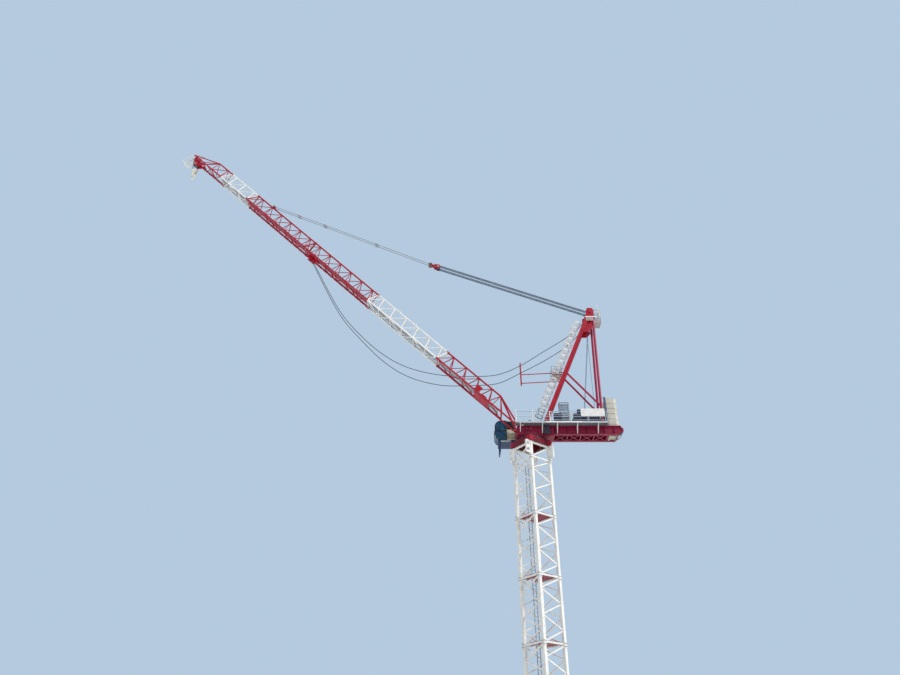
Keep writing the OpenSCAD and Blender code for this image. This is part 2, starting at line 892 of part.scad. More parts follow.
module jib_chords(s0, s1) {
    for (side = [-1, 1]) bar([s0, side * half_w, 0], [s1, side * half_w, 0], chord_d, 8);
    bar([s0, 0, jib_h], [s1, 0, jib_h], chord_d, 8);
}

// Cuts a piece of the jib off square at its two joints
module jib_between(s0, s1) {
    intersection() {
        union() children();
        translate([s0, -jib_w, -jib_h]) cube([s1 - s0, 2 * jib_w, 3 * jib_h]);
    }
}

module jib_run(s0, bays) {
    inset = 4;
    jib_between(s0, s0 + bays * bay) {
        jib_chords(s0, s0 + bays * bay);
        jib_bays(s0, bays);
        for (s = [s0 + inset, s0 + bays * bay - inset])
            for (side = [-1, 1]) bar([s, side * half_w, 0], [s, 0, jib_h], brace_w + 1);
    }
}

module jib_foot() {
    boss_w = 20;
    first = foot_len - 5 * bay;
    color(RED)
        at_jib()
            difference() {
                union() {
                    for (side = [-1, 1]) {
                        bar([0, side * half_w, 0], [foot_len, side * half_w, 0], chord_d, 8);
                        bar([0, side * half_w, 0], [knee_s, 0, jib_h], chord_d, 8);
                        translate([0, side * half_w, 0]) pin_y(pin_r + 10, boss_w);
                    }
                    bar([knee_s - 6, 0, jib_h], [foot_len, 0, jib_h], chord_d, 8);
                    jib_between(0, foot_len) jib_bays(foot_len - 4 * bay, 4);
                    for (side = [-1, 1], k = [4, 5])
                        bar([foot_len - k * bay, side * half_w, 0], [knee_s, 0, jib_h], brace_w);
                    bar([first, -half_w, 0], [first + bay, half_w, 0], brace_w);
                    bar([first, -half_w, 0], [first, half_w, 0], brace_w);
                }
                for (side = [-1, 1]) translate([0, side * half_w, 0]) pin_y(pin_r + pin_fit, boss_w + 2);
            }
}

module jib_section_2() {
    color(WHITE) at_jib() jib_run(s_2, 6);
}

module jib_section_3() {
    color(RED) at_jib() jib_run(s_3, 6);
}

module jib_section_4() {
    color(RED) at_jib() {
        jib_run(s_4, 6);
        translate([lug_s, 0, lug_n]) pin_y(14, 20);
        block([28, 20, lug_n - jib_h], [lug_s, 0, jib_h]);
        translate([lug_s, 0, lug_n]) pin_y(6, 2 * pendant_y + 14);
    }
}

module jib_section_5() {
    color(WHITE) at_jib() jib_run(s_5, 3);
}

// The last bays, where the top chord ends early and four bars run down to the nose
module jib_tip() {
    top_end = s_6 + 1.5 * bay;
    color(RED) at_jib()
        jib_between(s_6, s_end) {
            for (side = [-1, 1]) bar([s_6, side * half_w, 0], [s_end, side * half_w, 0], chord_d, 8);
            bar([s_6, 0, jib_h], [top_end, 0, jib_h], chord_d, 8);
            jib_bays(s_6, 1);
            for (side = [-1, 1]) {
                bar([s_6 + 4, side * half_w, 0], [s_6 + 4, 0, jib_h], brace_w + 1);
                bar([s_6 + bay, side * half_w, 0], [top_end, 0, jib_h], brace_w);
                bar([s_6 + 2 * bay, side * half_w, 0], [top_end, 0, jib_h], brace_w);
                bar([s_end, side * half_w, 0], [top_end, 0, jib_h], brace_w + 2);
                bar([s_6 + (1.5 + side / 2) * bay, -half_w, 0], [s_6 + (2 + side / 2) * bay, half_w, 0], brace_w);
            }
            for (s = [s_6 + 2 * bay, s_end - 6]) bar([s, -half_w, 0], [s, half_w, 0], brace_w + 1);
        }
}

// The two cheeks under the nose that carry the hoist sheaves
module jib_head() {
    cheek = 8;
    cheek_y = 27;
    under = -(brace_w + 1) / 2;
    inside = half_w - chord_d / 2;
    color(RED) at_jib()
        difference() {
            union() {
                for (side = [-1, 1])
                    translate([0, side * cheek_y, 0])
                        rotate([90, 0, 0])
                            linear_extrude(cheek, center = true)
                                polygon([[tip_s - 90, under - 1], [tip_s - 30, tip_n - 18], [tip_s + 14, tip_n - 20],
                                         [tip_s + 34, tip_n], [s_end + 4, -22], [s_end + 4, under],
                                         [tip_s + 45, under], [tip_s + 45, 3], [tip_s - 12, 3],
                                         [tip_s - 12, under - 1]]);
                for (s = [tip_s - 9, tip_s + 30])
                    translate([s, -inside, -3]) cube([12, 2 * inside, 6]);
            }
            translate([tip_s, 0, tip_n]) pin_y(6, 4 * cheek_y);
        }
}

module jib_walkway() {
    color(STEEL)
        at_jib()
            for (s = [s_2, s_3, s_4, s_5])
                translate([s + 8, -25, brace_w / 2]) cube([(s == s_5 ? 3 : 6) * bay - 16, 50, 3]);
}

module sheave(r, width) {
    difference() {
        pin_y(r + 3, width);
        rotate([90, 0, 0])
            rotate_extrude()
                polygon([[r, 0], [r + 4, width / 2 - 0.5], [r + 4, 0.5 - width / 2]]);
    }
}

// Where the slack ropes run onto the jib
outer_sheave_s = s_4 - 0.75 * bay;
inner_sheave_s = foot_len - 3.5 * bay;

module jib_sheave(s) {
    at_jib()
        translate([s, 0, -brace_w / 2]) {
            for (side = [-1, 1]) translate([-30, side * 22 - 3, -43]) cube([60, 6, 43]);
            translate([-90, -55, -3]) cube([180, 110, 3]);
            translate([0, 0, -24]) {
                sheave(16, 10);
                pin_y(5, 48);
            }
        }
}

module jib_sheave_inner() {
    color(RED) jib_sheave(inner_sheave_s);
}

module jib_sheave_outer() {
    color(RED)
        difference() {
            union() {
                jib_sheave(outer_sheave_s);
                at_jib() translate([outer_sheave_s - 60, -22, -brace_w / 2 - 45]) cube([20, 44, 45]);
            }
            for (p = [upper_route, lower_route])
                bar(mix(p[len(p) - 1], p[len(p) - 2], -0.3), mix(p[len(p) - 1], p[len(p) - 2], 0.3), slack_d + 1.2, 24);
        }
}

module tip_platform() {
    reach = 64;
    rail = 3;
    half = 43;
    low = tip_n - 80;
    high = tip_n + 40;
    plate = 6;
    color(WHITE)
        at_jib()
            translate([s_end + 4, 0, 0]) {
                translate([0, -half - 2, low]) cube([reach, 2 * half + 4, rail]);
                translate([0, -half - 2, low]) cube([plate, 2 * half + 4, 10]);
                for (y = [-1, 1]) block([plate, 12, -low + 20], [plate / 2, y * 30, low]);
                for (x = [3, reach - 2], y = [-half, half]) bar([x, y, low], [x, y, high], rail);
                for (y = [-half, half], z = [high - 40, high - 2]) bar([3, y, z], [reach - 2, y, z], rail);
                for (x = [3, reach - 2], z = [high - 40, high - 2]) bar([x, -half, z], [x, half, z], rail);
            }
}

module tip_sheaves() {
    color(STEEL)
        translate(tip) {
            for (y = [-1, 1]) translate([0, y * fall_y, 0]) sheave(tip_sheave_r, 10);
            pin_y(6 - pin_fit, 60);
        }
}

// Pendants and luffing tackle

module pendants() {
    joints = [0.33, 0.66, 0.83];
    eye_t = 8;
    color(STEEL)
        along(block_pin, lug)
            for (side = [-1, 1])
                translate([0, side * pendant_y, 0])
                    difference() {
                        union() {
                            pin_y(5 + eye_play + 7, eye_t);
                            translate([pendant_run, 0, 0]) pin_y(13, eye_t);
                            bar([5 + eye_play + 3, 0, 0], [pendant_run - 8, 0, 0], 4.5, 8);
                            for (t = joints) translate([t * pendant_run, 0, 0]) pin_y(7, eye_t);
                        }
                        pin_y(5 + eye_play, 20);
                        translate([pendant_run, 0, 0]) pin_y(6 + pin_fit, 20);
                    }
}

module floating_block() {
    width = sheave_n * sheave_pitch + 18;
    tongue = 42;
    bridge = 12;
    color(RED)
        along(block_pin, block_pin + falls_dir) {
            translate([-tongue, -9, -14]) cube([tongue, 18, 28]);
            pin_y(14, 18);
            pin_y(5, 2 * pendant_y + 14);
            translate([-tongue - bridge, -width / 2, -12]) cube([bridge, width, 24]);
            for (side = [-1, 1])
                translate([0, side * (width / 2 - 3), 0])
                    rotate([90, 0, 0])
                        linear_extrude(6, center = true)
                            difference() {
                                union() {
                                    polygon([[-tongue, -12], [-tongue, 12],
                                             [-block_sheave_x, 22], [-block_sheave_x, -22]]);
                                    translate([-block_sheave_x, 0]) circle(r = 22);
                                }
                                translate([-block_sheave_x, 0]) circle(r = 6);
                            }
        }
}

module sheave_set(r, shaft_r, shaft_len) {
    for (k = [0:sheave_n - 1])
        translate([0, (k - (sheave_n - 1) / 2) * sheave_pitch, 0]) sheave(r, sheave_pitch - 1);
    pin_y(shaft_r, shaft_len);
}

module block_sheaves() {
    color(STEEL) along(block_axis, block_pin) sheave_set(sheave_r, 6 - pin_fit, sheave_n * sheave_pitch + 18);
}

module head_sheaves() {
    color(STEEL) along(apex, block_pin) sheave_set(sheave_r, pin_r - 1, 2 * a_head_y + 8);
}

module luffing_falls() {
    r = sheave_r + rope_d / 2 + rope_seat;
    color("#30343a")
        along(apex, block_pin)
            for (k = [0:sheave_n - 1], face = [-1, 1])
                translate([0, (k - (sheave_n - 1) / 2) * sheave_pitch, 0])
                    bar([0, 0, face * r], [falls_len, 0, face * r], rope_d, 6);
}

// Hook

module hoist_falls() {
    r = tip_sheave_r + rope_d / 2 + rope_seat;
    color("#30343a")
        translate(tip)
            for (x = [-1, 1], y = [-1, 1])
                bar([x * r, y * fall_y, 0], [x * r, y * fall_y, -hook_drop], rope_d, 6);
}

hook_body_h = 60;
yoke_h = 14;
shank_r = 4;

module hook_block() {
    color("#e8d36a")
        translate(tip - [0, 0, hook_drop])
            difference() {
                union() {
                    for (y = [-1, 1]) translate([0, y * fall_y, 0]) sheave(tip_sheave_r, 10);
                    pin_y(5, 44);
                    for (side = [-1, 1]) block([36, 5, hook_body_h + 12], [0, side * 19, -hook_body_h]);
                    block([30, 43, yoke_h], [0, 0, -hook_body_h]);
                }
                translate([0, 0, -hook_body_h - 1]) cylinder(h = yoke_h + 2, r = shank_r + pin_fit);
            }
}

module hook() {
    bowl = 22;
    throat = 12;
    color(STEEL)
        translate(tip - [0, 0, hook_drop + hook_body_h]) {
            translate([0, 0, -30]) cylinder(h = 30 + yoke_h + 6, r = shank_r);
            translate([0, 0, -30]) cylinder(h = 29.7, r = shank_r + 3);
            translate([0, 0, yoke_h + 0.3]) cylinder(h = 6, r = shank_r + 3);
            translate([0, 0, -30 - throat])
                difference() {
                    pin_y(bowl, 10);
                    pin_y(throat, 12);
                    block([bowl + 4, 16, throat + 6], [bowl / 2 + 8, 0, 1]);
                }
        }
}

// Slack ropes, each a tube along points chosen by hand

upper_route = [
    [-632, -84, 4222], [-540, -88, 4112], [-386, -96, 3996], [-186, -112, 3869], [39, -118, 3719],
    [264, -124, 3622], [514, -130, 3606], [814, -132, 3622], [1114, -132, 3698], [1364, -130, 3838],
    [1614, -120, 4064], [1864, -80, 4366], [2169, -14, 4925]
];
lower_route = [
    [-632, -84, 4182], [-550, -90, 4050], [-386, -104, 3897], [-186, -116, 3766], [39, -118, 3637],
    [264, -128, 3527], [514, -134, 3508], [814, -136, 3512], [1114, -136, 3598], [1364, -132, 3762],
    [1614, -120, 4018], [1864, -72, 4325], [2179, 0, 4915]
];
rope_sides = 8;

// Steps between two route points, so that the rings lie a few diameters apart
rope_steps = 3;

// Catmull-Rom point between b and c
function spline(a, b, c, d, t) =
    0.5 * (2 * b + (c - a) * t + (2 * a - 5 * b + 4 * c - d) * t * t + (3 * b - a - 3 * c + d) * t * t * t);

function clamp_at(p, i) = p[max(0, min(len(p) - 1, i))];

function rope_path(p) = concat(
    [for (i = [0:len(p) - 2], k = [0:rope_steps - 1])
        spline(clamp_at(p, i - 1), p[i], p[i + 1], clamp_at(p, i + 2), k / rope_steps)],
    [p[len(p) - 1]]);

module rope(p, d) {
    path = rope_path(p);
    n = len(path);
    ring = function(i)
        let (t = clamp_at(path, i + 1) - clamp_at(path, i - 1),
             f = t / norm(t),
             side = cross(f, [0, 1, 0]) / norm(cross(f, [0, 1, 0])),
             up = cross(side, f))
        [for (k = [0:rope_sides - 1])
            path[i] + d / 2 * (side * cos(360 * k / rope_sides) + up * sin(360 * k / rope_sides))];
    points = [for (i = [0:n - 1]) each ring(i)];
    walls = [for (i = [0:n - 2], k = [0:rope_sides - 1])
        let (a = i * rope_sides + k, b = i * rope_sides + (k + 1) % rope_sides)
        [a, b, b + rope_sides, a + rope_sides]];
    caps = [[for (k = [0:rope_sides - 1]) rope_sides - 1 - k],
            [for (k = [0:rope_sides - 1]) (n - 1) * rope_sides + k]];
    polyhedron(points, concat(walls, caps), convexity = 8);
}

module slack_rope_upper() {
    color("#27303c") rope(upper_route, slack_d);
}

module slack_rope_lower() {
    color("#27303c") rope(lower_route, slack_d);
}

base_cross();
mast_section(1);  // mast_section_1
mast_section(2);  // mast_section_2
mast_section(3);  // mast_section_3
mast_section(4);  // mast_section_4
mast_section(5);  // mast_section_5
mast_ladder();
mast_landings();
mast_head();
slewing_seat();
slewing_gear_ring();
slewing_platform();
slewing_drives();
counter_jib();
centre_deck();
side_walkways();
railings();
a_frame_front_legs();
a_frame_rear_struts();
a_frame_head();
head_platform();
caged_ladder();
rope_guide_arm();
winch_frames();
hoist_winch_drum();
luffing_winch_drum();
pump_motor();
mesh_cabinet();
sign_board();
ballast_frame();
ballast_blocks();
cab_base();
cab_body();
cab_glass();
jib_foot();
jib_section_2();
jib_section_3();
jib_section_4();
jib_section_5();
jib_tip();
jib_walkway();
jib_sheave_inner();
jib_sheave_outer();
jib_head();
tip_platform();
tip_sheaves();
pendants();
floating_block();
block_sheaves();
head_sheaves();
luffing_falls();
hoist_falls();
hook_block();
hook();
slack_rope_upper();
slack_rope_lower();
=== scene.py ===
# %% [markdown]
# # A luffing-jib tower crane
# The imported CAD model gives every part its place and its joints. This lesson dresses it: paint, steel, glass
# and rope for each part, and then the bolts, rails, ropes and machines that a crane carries.
# The model is one tenth of the real crane, so a number here is ten times as large on site.

# %% Load the frame
import math

import bmesh
import bpy
from mathutils import Matrix, Vector


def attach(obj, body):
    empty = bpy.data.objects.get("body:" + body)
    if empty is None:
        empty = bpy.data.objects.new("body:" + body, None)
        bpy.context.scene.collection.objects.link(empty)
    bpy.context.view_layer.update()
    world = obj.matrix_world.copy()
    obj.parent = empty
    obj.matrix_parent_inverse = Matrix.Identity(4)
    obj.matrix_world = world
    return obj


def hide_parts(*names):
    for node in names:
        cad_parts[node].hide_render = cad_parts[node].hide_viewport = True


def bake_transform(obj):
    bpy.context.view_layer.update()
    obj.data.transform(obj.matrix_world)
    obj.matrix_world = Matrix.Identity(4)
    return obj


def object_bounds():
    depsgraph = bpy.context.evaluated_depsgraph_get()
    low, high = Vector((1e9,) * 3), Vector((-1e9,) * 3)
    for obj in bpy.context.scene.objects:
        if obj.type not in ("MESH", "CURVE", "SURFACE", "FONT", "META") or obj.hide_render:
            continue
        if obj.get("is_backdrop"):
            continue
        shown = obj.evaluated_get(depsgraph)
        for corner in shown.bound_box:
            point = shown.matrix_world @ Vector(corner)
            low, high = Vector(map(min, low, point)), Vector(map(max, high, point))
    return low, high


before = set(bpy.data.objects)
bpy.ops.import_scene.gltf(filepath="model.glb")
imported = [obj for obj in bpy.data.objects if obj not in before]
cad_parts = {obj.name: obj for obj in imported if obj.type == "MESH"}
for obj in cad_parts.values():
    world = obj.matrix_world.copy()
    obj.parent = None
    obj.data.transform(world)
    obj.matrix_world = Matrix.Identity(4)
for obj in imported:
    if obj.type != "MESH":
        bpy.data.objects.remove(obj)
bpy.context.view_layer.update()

# %% [markdown]
# ## Camera
# The photograph was taken from the ground, looking up at the crane's left side. The camera stands where the
# measured lines of the mast and the jib meet the picture again, so nothing is shifted or cropped.

# %% Camera
EYE = Vector((0.726, 5.85, 0.16))
LOOK_UP = math.radians(33.1)
FOCAL_PIXELS = 709
PICTURE_WIDTH = 900

camera_data = bpy.data.cameras.new("camera")
camera_data.sensor_width = 36
camera_data.lens = camera_data.sensor_width * FOCAL_PIXELS / PICTURE_WIDTH
camera_data.clip_start, camera_data.clip_end = 0.05, 200
camera = bpy.data.objects.new("camera", camera_data)
camera.location = EYE
camera.rotation_euler = (math.pi / 2 + LOOK_UP, 0, math.pi)
bpy.context.scene.collection.objects.link(camera)
bpy.context.scene.camera = camera
print("lens", round(camera_data.lens, 2), "mm")

# %% [markdown]
# ## Helpers for materials
# Each finish is a small node tree that reads Object coordinates, so the pattern stays with the piece.
# `Tree` only saves typing: it makes a node, sets its inputs and links what it is given.

# %% Node helper
class Tree:
    def __init__(self, tree):
        self.tree = tree

    def node(self, kind, props=(), **inputs):
        made = self.tree.nodes.new(kind)
        for key, value in dict(props).items():
            setattr(made, key, value)
        for key, value in inputs.items():
            socket = made.inputs[int(key[1:])] if key[0] == "i" and key[1:].isdigit() else made.inputs[key]
            self.put(value, socket)
        return made

    def put(self, value, socket):
        if isinstance(value, bpy.types.NodeSocket):
            self.tree.links.new(value, socket)
        else:
            socket.default_value = value

    def math(self, what, a, b=0.0, clamp=False):
        return self.node("ShaderNodeMath", {"operation": what, "use_clamp": clamp}, i0=a, i1=b).outputs[0]

    def remap(self, value, low, high, to_low=0.0, to_high=1.0):
        made = self.node("ShaderNodeMapRange", i0=value, i1=low, i2=high, i3=to_low, i4=to_high)
        return made.outputs[0]

    def noise(self, where, scale, detail=3.0, rough=0.5):
        made = self.node("ShaderNodeTexNoise", Vector=where, Scale=scale, Detail=detail, Roughness=rough)
        return made.outputs["Fac"]

    def mix(self, share, a, b):
        made = self.node("ShaderNodeMix", {"data_type": "RGBA"}, i0=share, i6=a, i7=b)
        return made.outputs[2]


def rgb(code):
    """The linear colour of a #rrggbb code."""
    parts = [int(code[i:i + 2], 16) / 255 for i in (1, 3, 5)]
    return (*[p / 12.92 if p <= 0.04045 else ((p + 0.055) / 1.055) ** 2.4 for p in parts], 1)


def new_material(name):
    made = bpy.data.materials.new(name)
    made.use_nodes = True
    made.node_tree.nodes.clear()
    tree = Tree(made.node_tree)
    shader = tree.node("ShaderNodeBsdfPrincipled")
    out = tree.node("ShaderNodeOutputMaterial")
    made.node_tree.links.new(shader.outputs[0], out.inputs[0])
    return made, tree, shader


# %% [markdown]
# ## Paint
# Crane steel is sprayed with a thick enamel. Sun fades it in patches, rain draws thin grey streaks down the
# upright faces, and the sharp edges lose paint first. The Bevel node compares the rounded normal with the
# true one, which finds those edges without any extra geometry.

# %% Paint material
def paint(name, colour, faded, grime="#3a3532", primer="#8d8a86", wear=0.5, rough=0.42, coat=0.08, patch=5.0):
    made, t, shader = new_material(name)
    where = t.node("ShaderNodeTexCoord").outputs["Object"]
    patches = t.remap(t.noise(where, patch, 4.0, 0.55), 0.35, 0.7)
    base = t.mix(t.math("MULTIPLY", patches, 0.55), rgb(colour), rgb(faded))
    tall = t.node("ShaderNodeMapping", Vector=where, Scale=(1.0, 1.0, 0.09)).outputs[0]
    streaks = t.remap(t.noise(tall, 85.0, 3.0, 0.6), 0.55, 0.78)
    dust = t.remap(t.noise(where, 17.0, 5.0, 0.62), 0.45, 0.8)
    dirt = t.math("MULTIPLY", t.math("ADD", t.math("MULTIPLY", streaks, 0.5), dust, True), 0.3)
    base = t.mix(dirt, base, rgb(grime))
    round_edge = t.node("ShaderNodeBevel", {"samples": 4}, Radius=0.0016).outputs[0]
    true = t.node("ShaderNodeNewGeometry").outputs["Normal"]
    same = t.node("ShaderNodeVectorMath", {"operation": "DOT_PRODUCT"}, i0=round_edge, i1=true)
    edge = t.remap(same.outputs["Value"], 0.985, 0.9)
    chips = t.remap(t.noise(where, 130.0, 4.0, 0.7), 0.52, 0.6)
    bare = t.math("MULTIPLY", t.math("MULTIPLY", edge, chips), wear, True)
    base = t.mix(bare, base, rgb(primer))
    fine = t.noise(where, 420.0, 2.0, 0.5)
    t.put(base, shader.inputs["Base Color"])
    t.put(t.math("ADD", t.remap(fine, 0.2, 0.8, rough - 0.05, rough + 0.08), t.math("MULTIPLY", dirt, 0.6)),
          shader.inputs["Roughness"])
    shader.inputs["Specular IOR Level"].default_value = 0.3
    shader.inputs["Coat Weight"].default_value = coat
    shader.inputs["Coat Roughness"].default_value = 0.25
    bump = t.node("ShaderNodeBump", Strength=0.12, Distance=0.0008, Height=fine, Normal=round_edge)
    t.put(bump.outputs[0], shader.inputs["Normal"])
    return made


RED = paint("red_enamel", "#b10b28", "#b81c3a", grime="#4a1018")
# The maroon is the red enamel with painted shade in it: it darkens the platform, counter-jib, landings and
# drives.
SHADED_RED = paint("shaded_red_enamel", "#8a0834", "#901440", grime="#3c0a1c")
# The seat's dark red is painted shade from the platform above it; its corner plates keep the plain red.
SHADED_SEAT_RED = paint("seat_shade_enamel", "#6e0e20", "#7c1628", grime="#24080e")
# The rear struts' magenta red is painted shade, tinted by blue sky light.
SKY_SHADE_RED = paint("strut_sky_shade_enamel", "#a81644", "#b02e58", grime="#381020")
WHITE = paint("white_enamel", "#fafbfa", "#f0f0ea", grime="#9a968c", primer="#9c9892", rough=0.38)
MAST_WHITE = paint("mast_white_enamel", "#f6f8f6", "#e8e8e0", grime="#858178", primer="#8a5648", wear=0.7)
GREY = paint("grey_steel", "#a9afb0", "#bfc3c2", grime="#504c46", primer="#6d655e", rough=0.5, coat=0.0)
NAVY = paint("navy_enamel", "#16264c", "#2a3c62", grime="#0e1016", primer="#77706a")
SIGN = paint("sign_enamel", "#f2f3f2", "#e8e9e6", grime="#a9a59c", wear=0.2, rough=0.3, coat=0.3)
CREAM = paint("cab_cream", "#d9d5c2", "#cbc6b0", grime="#6a6454", wear=0.3, rough=0.35, coat=0.25)
HOOK_CREAM = paint("hook_cream", "#faf9f0", "#f2efe0", grime="#a39c88", primer="#5a5048", wear=0.7)
BASE_BLUE = paint("cab_base_blue", "#12335e", "#1c4878", grime="#0a1626")
TRAY = paint("tray_beige", "#b9b4a6", "#a8a396", grime="#5c584e")
DUSTY = paint("head_panel", "#b5a6a7", "#a39a9a", grime="#6c6260")
STORM = paint("box_brown", "#38303c", "#463c48", grime="#1c181e", wear=0.4)
# This dark blue-grey stands for painted shade on the ballast frame's posts; the control cabinet is painted
# with it as well.
SHADE = paint("painted_shade_blue", "#4c5a74", "#5f6c84", grime="#262c38")
OLIVE = paint("panel_olive", "#8c8b76", "#9b9a86", grime="#4c4a3c", wear=0.3)
RUST = paint("landing_brown", "#7c6a5e", "#94847a", grime="#3a2f28", rough=0.55, coat=0.0)

# %% [markdown]
# ## Galvanised steel, machined steel and rubber
# Gratings, rails and ladders are dipped in zinc, which dries in dull flakes. Sheaves and shafts are machined,
# so they are brighter, with fine rings from the lathe and a film of grease.

# %% Metal materials
def galvanised(name, light, dark, flake=60.0, rough=0.5):
    made, t, shader = new_material(name)
    where = t.node("ShaderNodeTexCoord").outputs["Object"]
    cells = t.node("ShaderNodeTexVoronoi", Vector=where, Scale=flake).outputs["Distance"]
    cloud = t.noise(where, 9.0, 4.0, 0.6)
    base = t.mix(t.remap(cells, 0.0, 0.7), rgb(light), rgb(dark))
    base = t.mix(t.math("MULTIPLY", t.remap(cloud, 0.5, 0.8), 0.4), base, rgb("#6b6862"))
    t.put(base, shader.inputs["Base Color"])
    shader.inputs["Metallic"].default_value = 0.35
    t.put(t.remap(cells, 0.0, 1.0, rough - 0.08, rough + 0.12), shader.inputs["Roughness"])
    bump = t.node("ShaderNodeBump", Strength=0.15, Distance=0.0006, Height=cells)
    t.put(bump.outputs[0], shader.inputs["Normal"])
    return made


def machined(name, colour, grease="#2a241c", rough=0.32, metallic=0.8):
    made, t, shader = new_material(name)
    where = t.node("ShaderNodeTexCoord").outputs["Object"]
    smear = t.remap(t.noise(where, 30.0, 4.0, 0.6), 0.45, 0.75)
    rings = t.noise(t.node("ShaderNodeMapping", Vector=where, Scale=(1.0, 14.0, 1.0)).outputs[0], 90.0, 2.0)
    base = t.mix(t.math("MULTIPLY", smear, 0.6), rgb(colour), rgb(grease))
    t.put(base, shader.inputs["Base Color"])
    shader.inputs["Metallic"].default_value = metallic
    t.put(t.remap(rings, 0.3, 0.7, rough - 0.08, rough + 0.14), shader.inputs["Roughness"])
    bump = t.node("ShaderNodeBump", Strength=0.1, Distance=0.0004, Height=rings)
    t.put(bump.outputs[0], shader.inputs["Normal"])
    return made


ZINC = galvanised("zinc_steel", "#c6cacb", "#9aa0a2")
BLUE = galvanised("cabinet_steel", "#87a2be", "#64819f", flake=50.0)
GRATE = galvanised("grating_steel", "#9a9ea4", "#71757d", flake=90.0, rough=0.6)
LADDER = paint("ladder_white", "#fbfcfc", "#f2f4f2", grime="#a8a49c", rough=0.4)
RAIL = galvanised("rail_steel", "#cfd8de", "#aebbc5")
SHEAVE = machined("sheave_steel", "#8d9094")
HOOK_STEEL = machined("forged_steel", "#6f7175", rough=0.42)
RUBBER = galvanised("black_rubber", "#202326", "#17191b", flake=240.0, rough=0.7)

# %% [markdown]
# ## Concrete
# The ballast blocks are cast and washed with a pale mineral paint. Cement dries in clouds, air leaves pores,
# and water runs down from the lifting points.

# %% Concrete material
def concrete(name, light, dark):
    made, t, shader = new_material(name)
    where = t.node("ShaderNodeTexCoord").outputs["Object"]
    cloud = t.remap(t.noise(where, 14.0, 6.0, 0.6), 0.3, 0.7)
    base = t.mix(cloud, rgb(light), rgb(dark))
    tall = t.node("ShaderNodeMapping", Vector=where, Scale=(1.0, 1.0, 0.12)).outputs[0]
    runs = t.remap(t.noise(tall, 60.0, 3.0, 0.6), 0.55, 0.8)
    base = t.mix(t.math("MULTIPLY", runs, 0.35), base, rgb("#8b8474"))
    pores = t.node("ShaderNodeTexVoronoi", Vector=where, Scale=170.0).outputs["Distance"]
    pits = t.remap(pores, 0.0, 0.16)
    base = t.mix(t.math("MULTIPLY", t.math("SUBTRACT", 1.0, pits), 0.35), base, rgb("#6f695c"))
    t.put(base, shader.inputs["Base Color"])
    shader.inputs["Roughness"].default_value = 0.85
    grain = t.math("ADD", t.math("MULTIPLY", pits, 0.6), t.noise(where, 300.0, 4.0, 0.6))
    bump = t.node("ShaderNodeBump", Strength=0.35, Distance=0.0012, Height=grain)
    t.put(bump.outputs[0], shader.inputs["Normal"])
    return made


JOINT = concrete("joint_packing", "#8f877c", "#7b7268")
CONCRETE = concrete("ballast_concrete", "#d8d7cf", "#c3c1b6")

# %% [markdown]
# ## Cab glass
# Tinted safety glass looks dark teal from below. It is a real shell in the CAD model, so it gets real
# transmission, and a thin film of dust keeps it from looking like a hole.

# %% Glass material
def tinted_glass(name, tint):
    made, t, shader = new_material(name)
    where = t.node("ShaderNodeTexCoord").outputs["Object"]
    film = t.remap(t.noise(where, 22.0, 4.0, 0.6), 0.4, 0.8)
    t.put(t.mix(t.math("MULTIPLY", film, 0.2), rgb(tint), rgb("#6f8f92")), shader.inputs["Base Color"])
    t.put(t.remap(film, 0.0, 1.0, 0.04, 0.16), shader.inputs["Roughness"])
    shader.inputs["Transmission Weight"].default_value = 0.55
    shader.inputs["IOR"].default_value = 1.45
    return made


GLASS = tinted_glass("cab_glass", "#1f6288")
DARK_GLASS = tinted_glass("cab_window_glass", "#0e2a33")

# %% [markdown]
# ## Wire rope
# A rope is six strands laid round a core. The running ropes are thin, so their lay is drawn by a slanted
# wave on the mesh's own UV map, which follows the rope wherever it hangs.

# %% Rope material
def wire_rope(name, light, dark):
    made, t, shader = new_material(name)
    lay = t.node("ShaderNodeTexCoord").outputs["UV"]
    split = t.node("ShaderNodeSeparateXYZ", Vector=lay)
    strands, turns_per_metre = 6.0, 110.0
    turns = t.math("ADD", t.math("MULTIPLY", split.outputs[0], strands),
                   t.math("MULTIPLY", split.outputs[1], turns_per_metre))
    strand = t.remap(t.math("SINE", t.math("MULTIPLY", turns, math.tau)), -1.0, 1.0)
    base = t.mix(strand, rgb(dark), rgb(light))
    t.put(base, shader.inputs["Base Color"])
    shader.inputs["Metallic"].default_value = 0.5
    shader.inputs["Roughness"].default_value = 0.48
    bump = t.node("ShaderNodeBump", Strength=0.6, Distance=0.0006, Height=strand)
    t.put(bump.outputs[0], shader.inputs["Normal"])
    return made


ROPE = wire_rope("slack_rope_wire", "#39424e", "#12161c")
TAUT = machined("taut_rope_wire", "#1c2b50", grease="#131d38", rough=0.65, metallic=0.1)
PENDANT = machined("pendant_steel", "#8b8584", grease="#4a3c38", rough=0.45)

# %% [markdown]
# ## Mesh helpers
# Most small parts are boxes, round bars, turned parts and flat plates. Each helper adds one of them to a
# mesh under construction, and `keep` turns that mesh into a finished piece that rides on its body.

# %% Mesh helpers
HERE = Matrix.Identity(4)


def slab(bm, centre, size, place=HERE, bevel=0.0):
    """A box, with its edges cut off by bevel."""
    made = bmesh.ops.create_cube(bm, size=1.0)["verts"]
    bmesh.ops.scale(bm, verts=made, vec=size)
    bmesh.ops.translate(bm, verts=made, vec=centre)
    if bevel:
        edges = list({e for v in made for e in v.link_edges})
        cut = bmesh.ops.bevel(bm, geom=edges, offset=bevel, segments=1, affect="EDGES")
        made = list({v for f in cut["faces"] for v in f.verts} | {v for v in made if v.is_valid})
    bmesh.ops.transform(bm, matrix=place, verts=made)


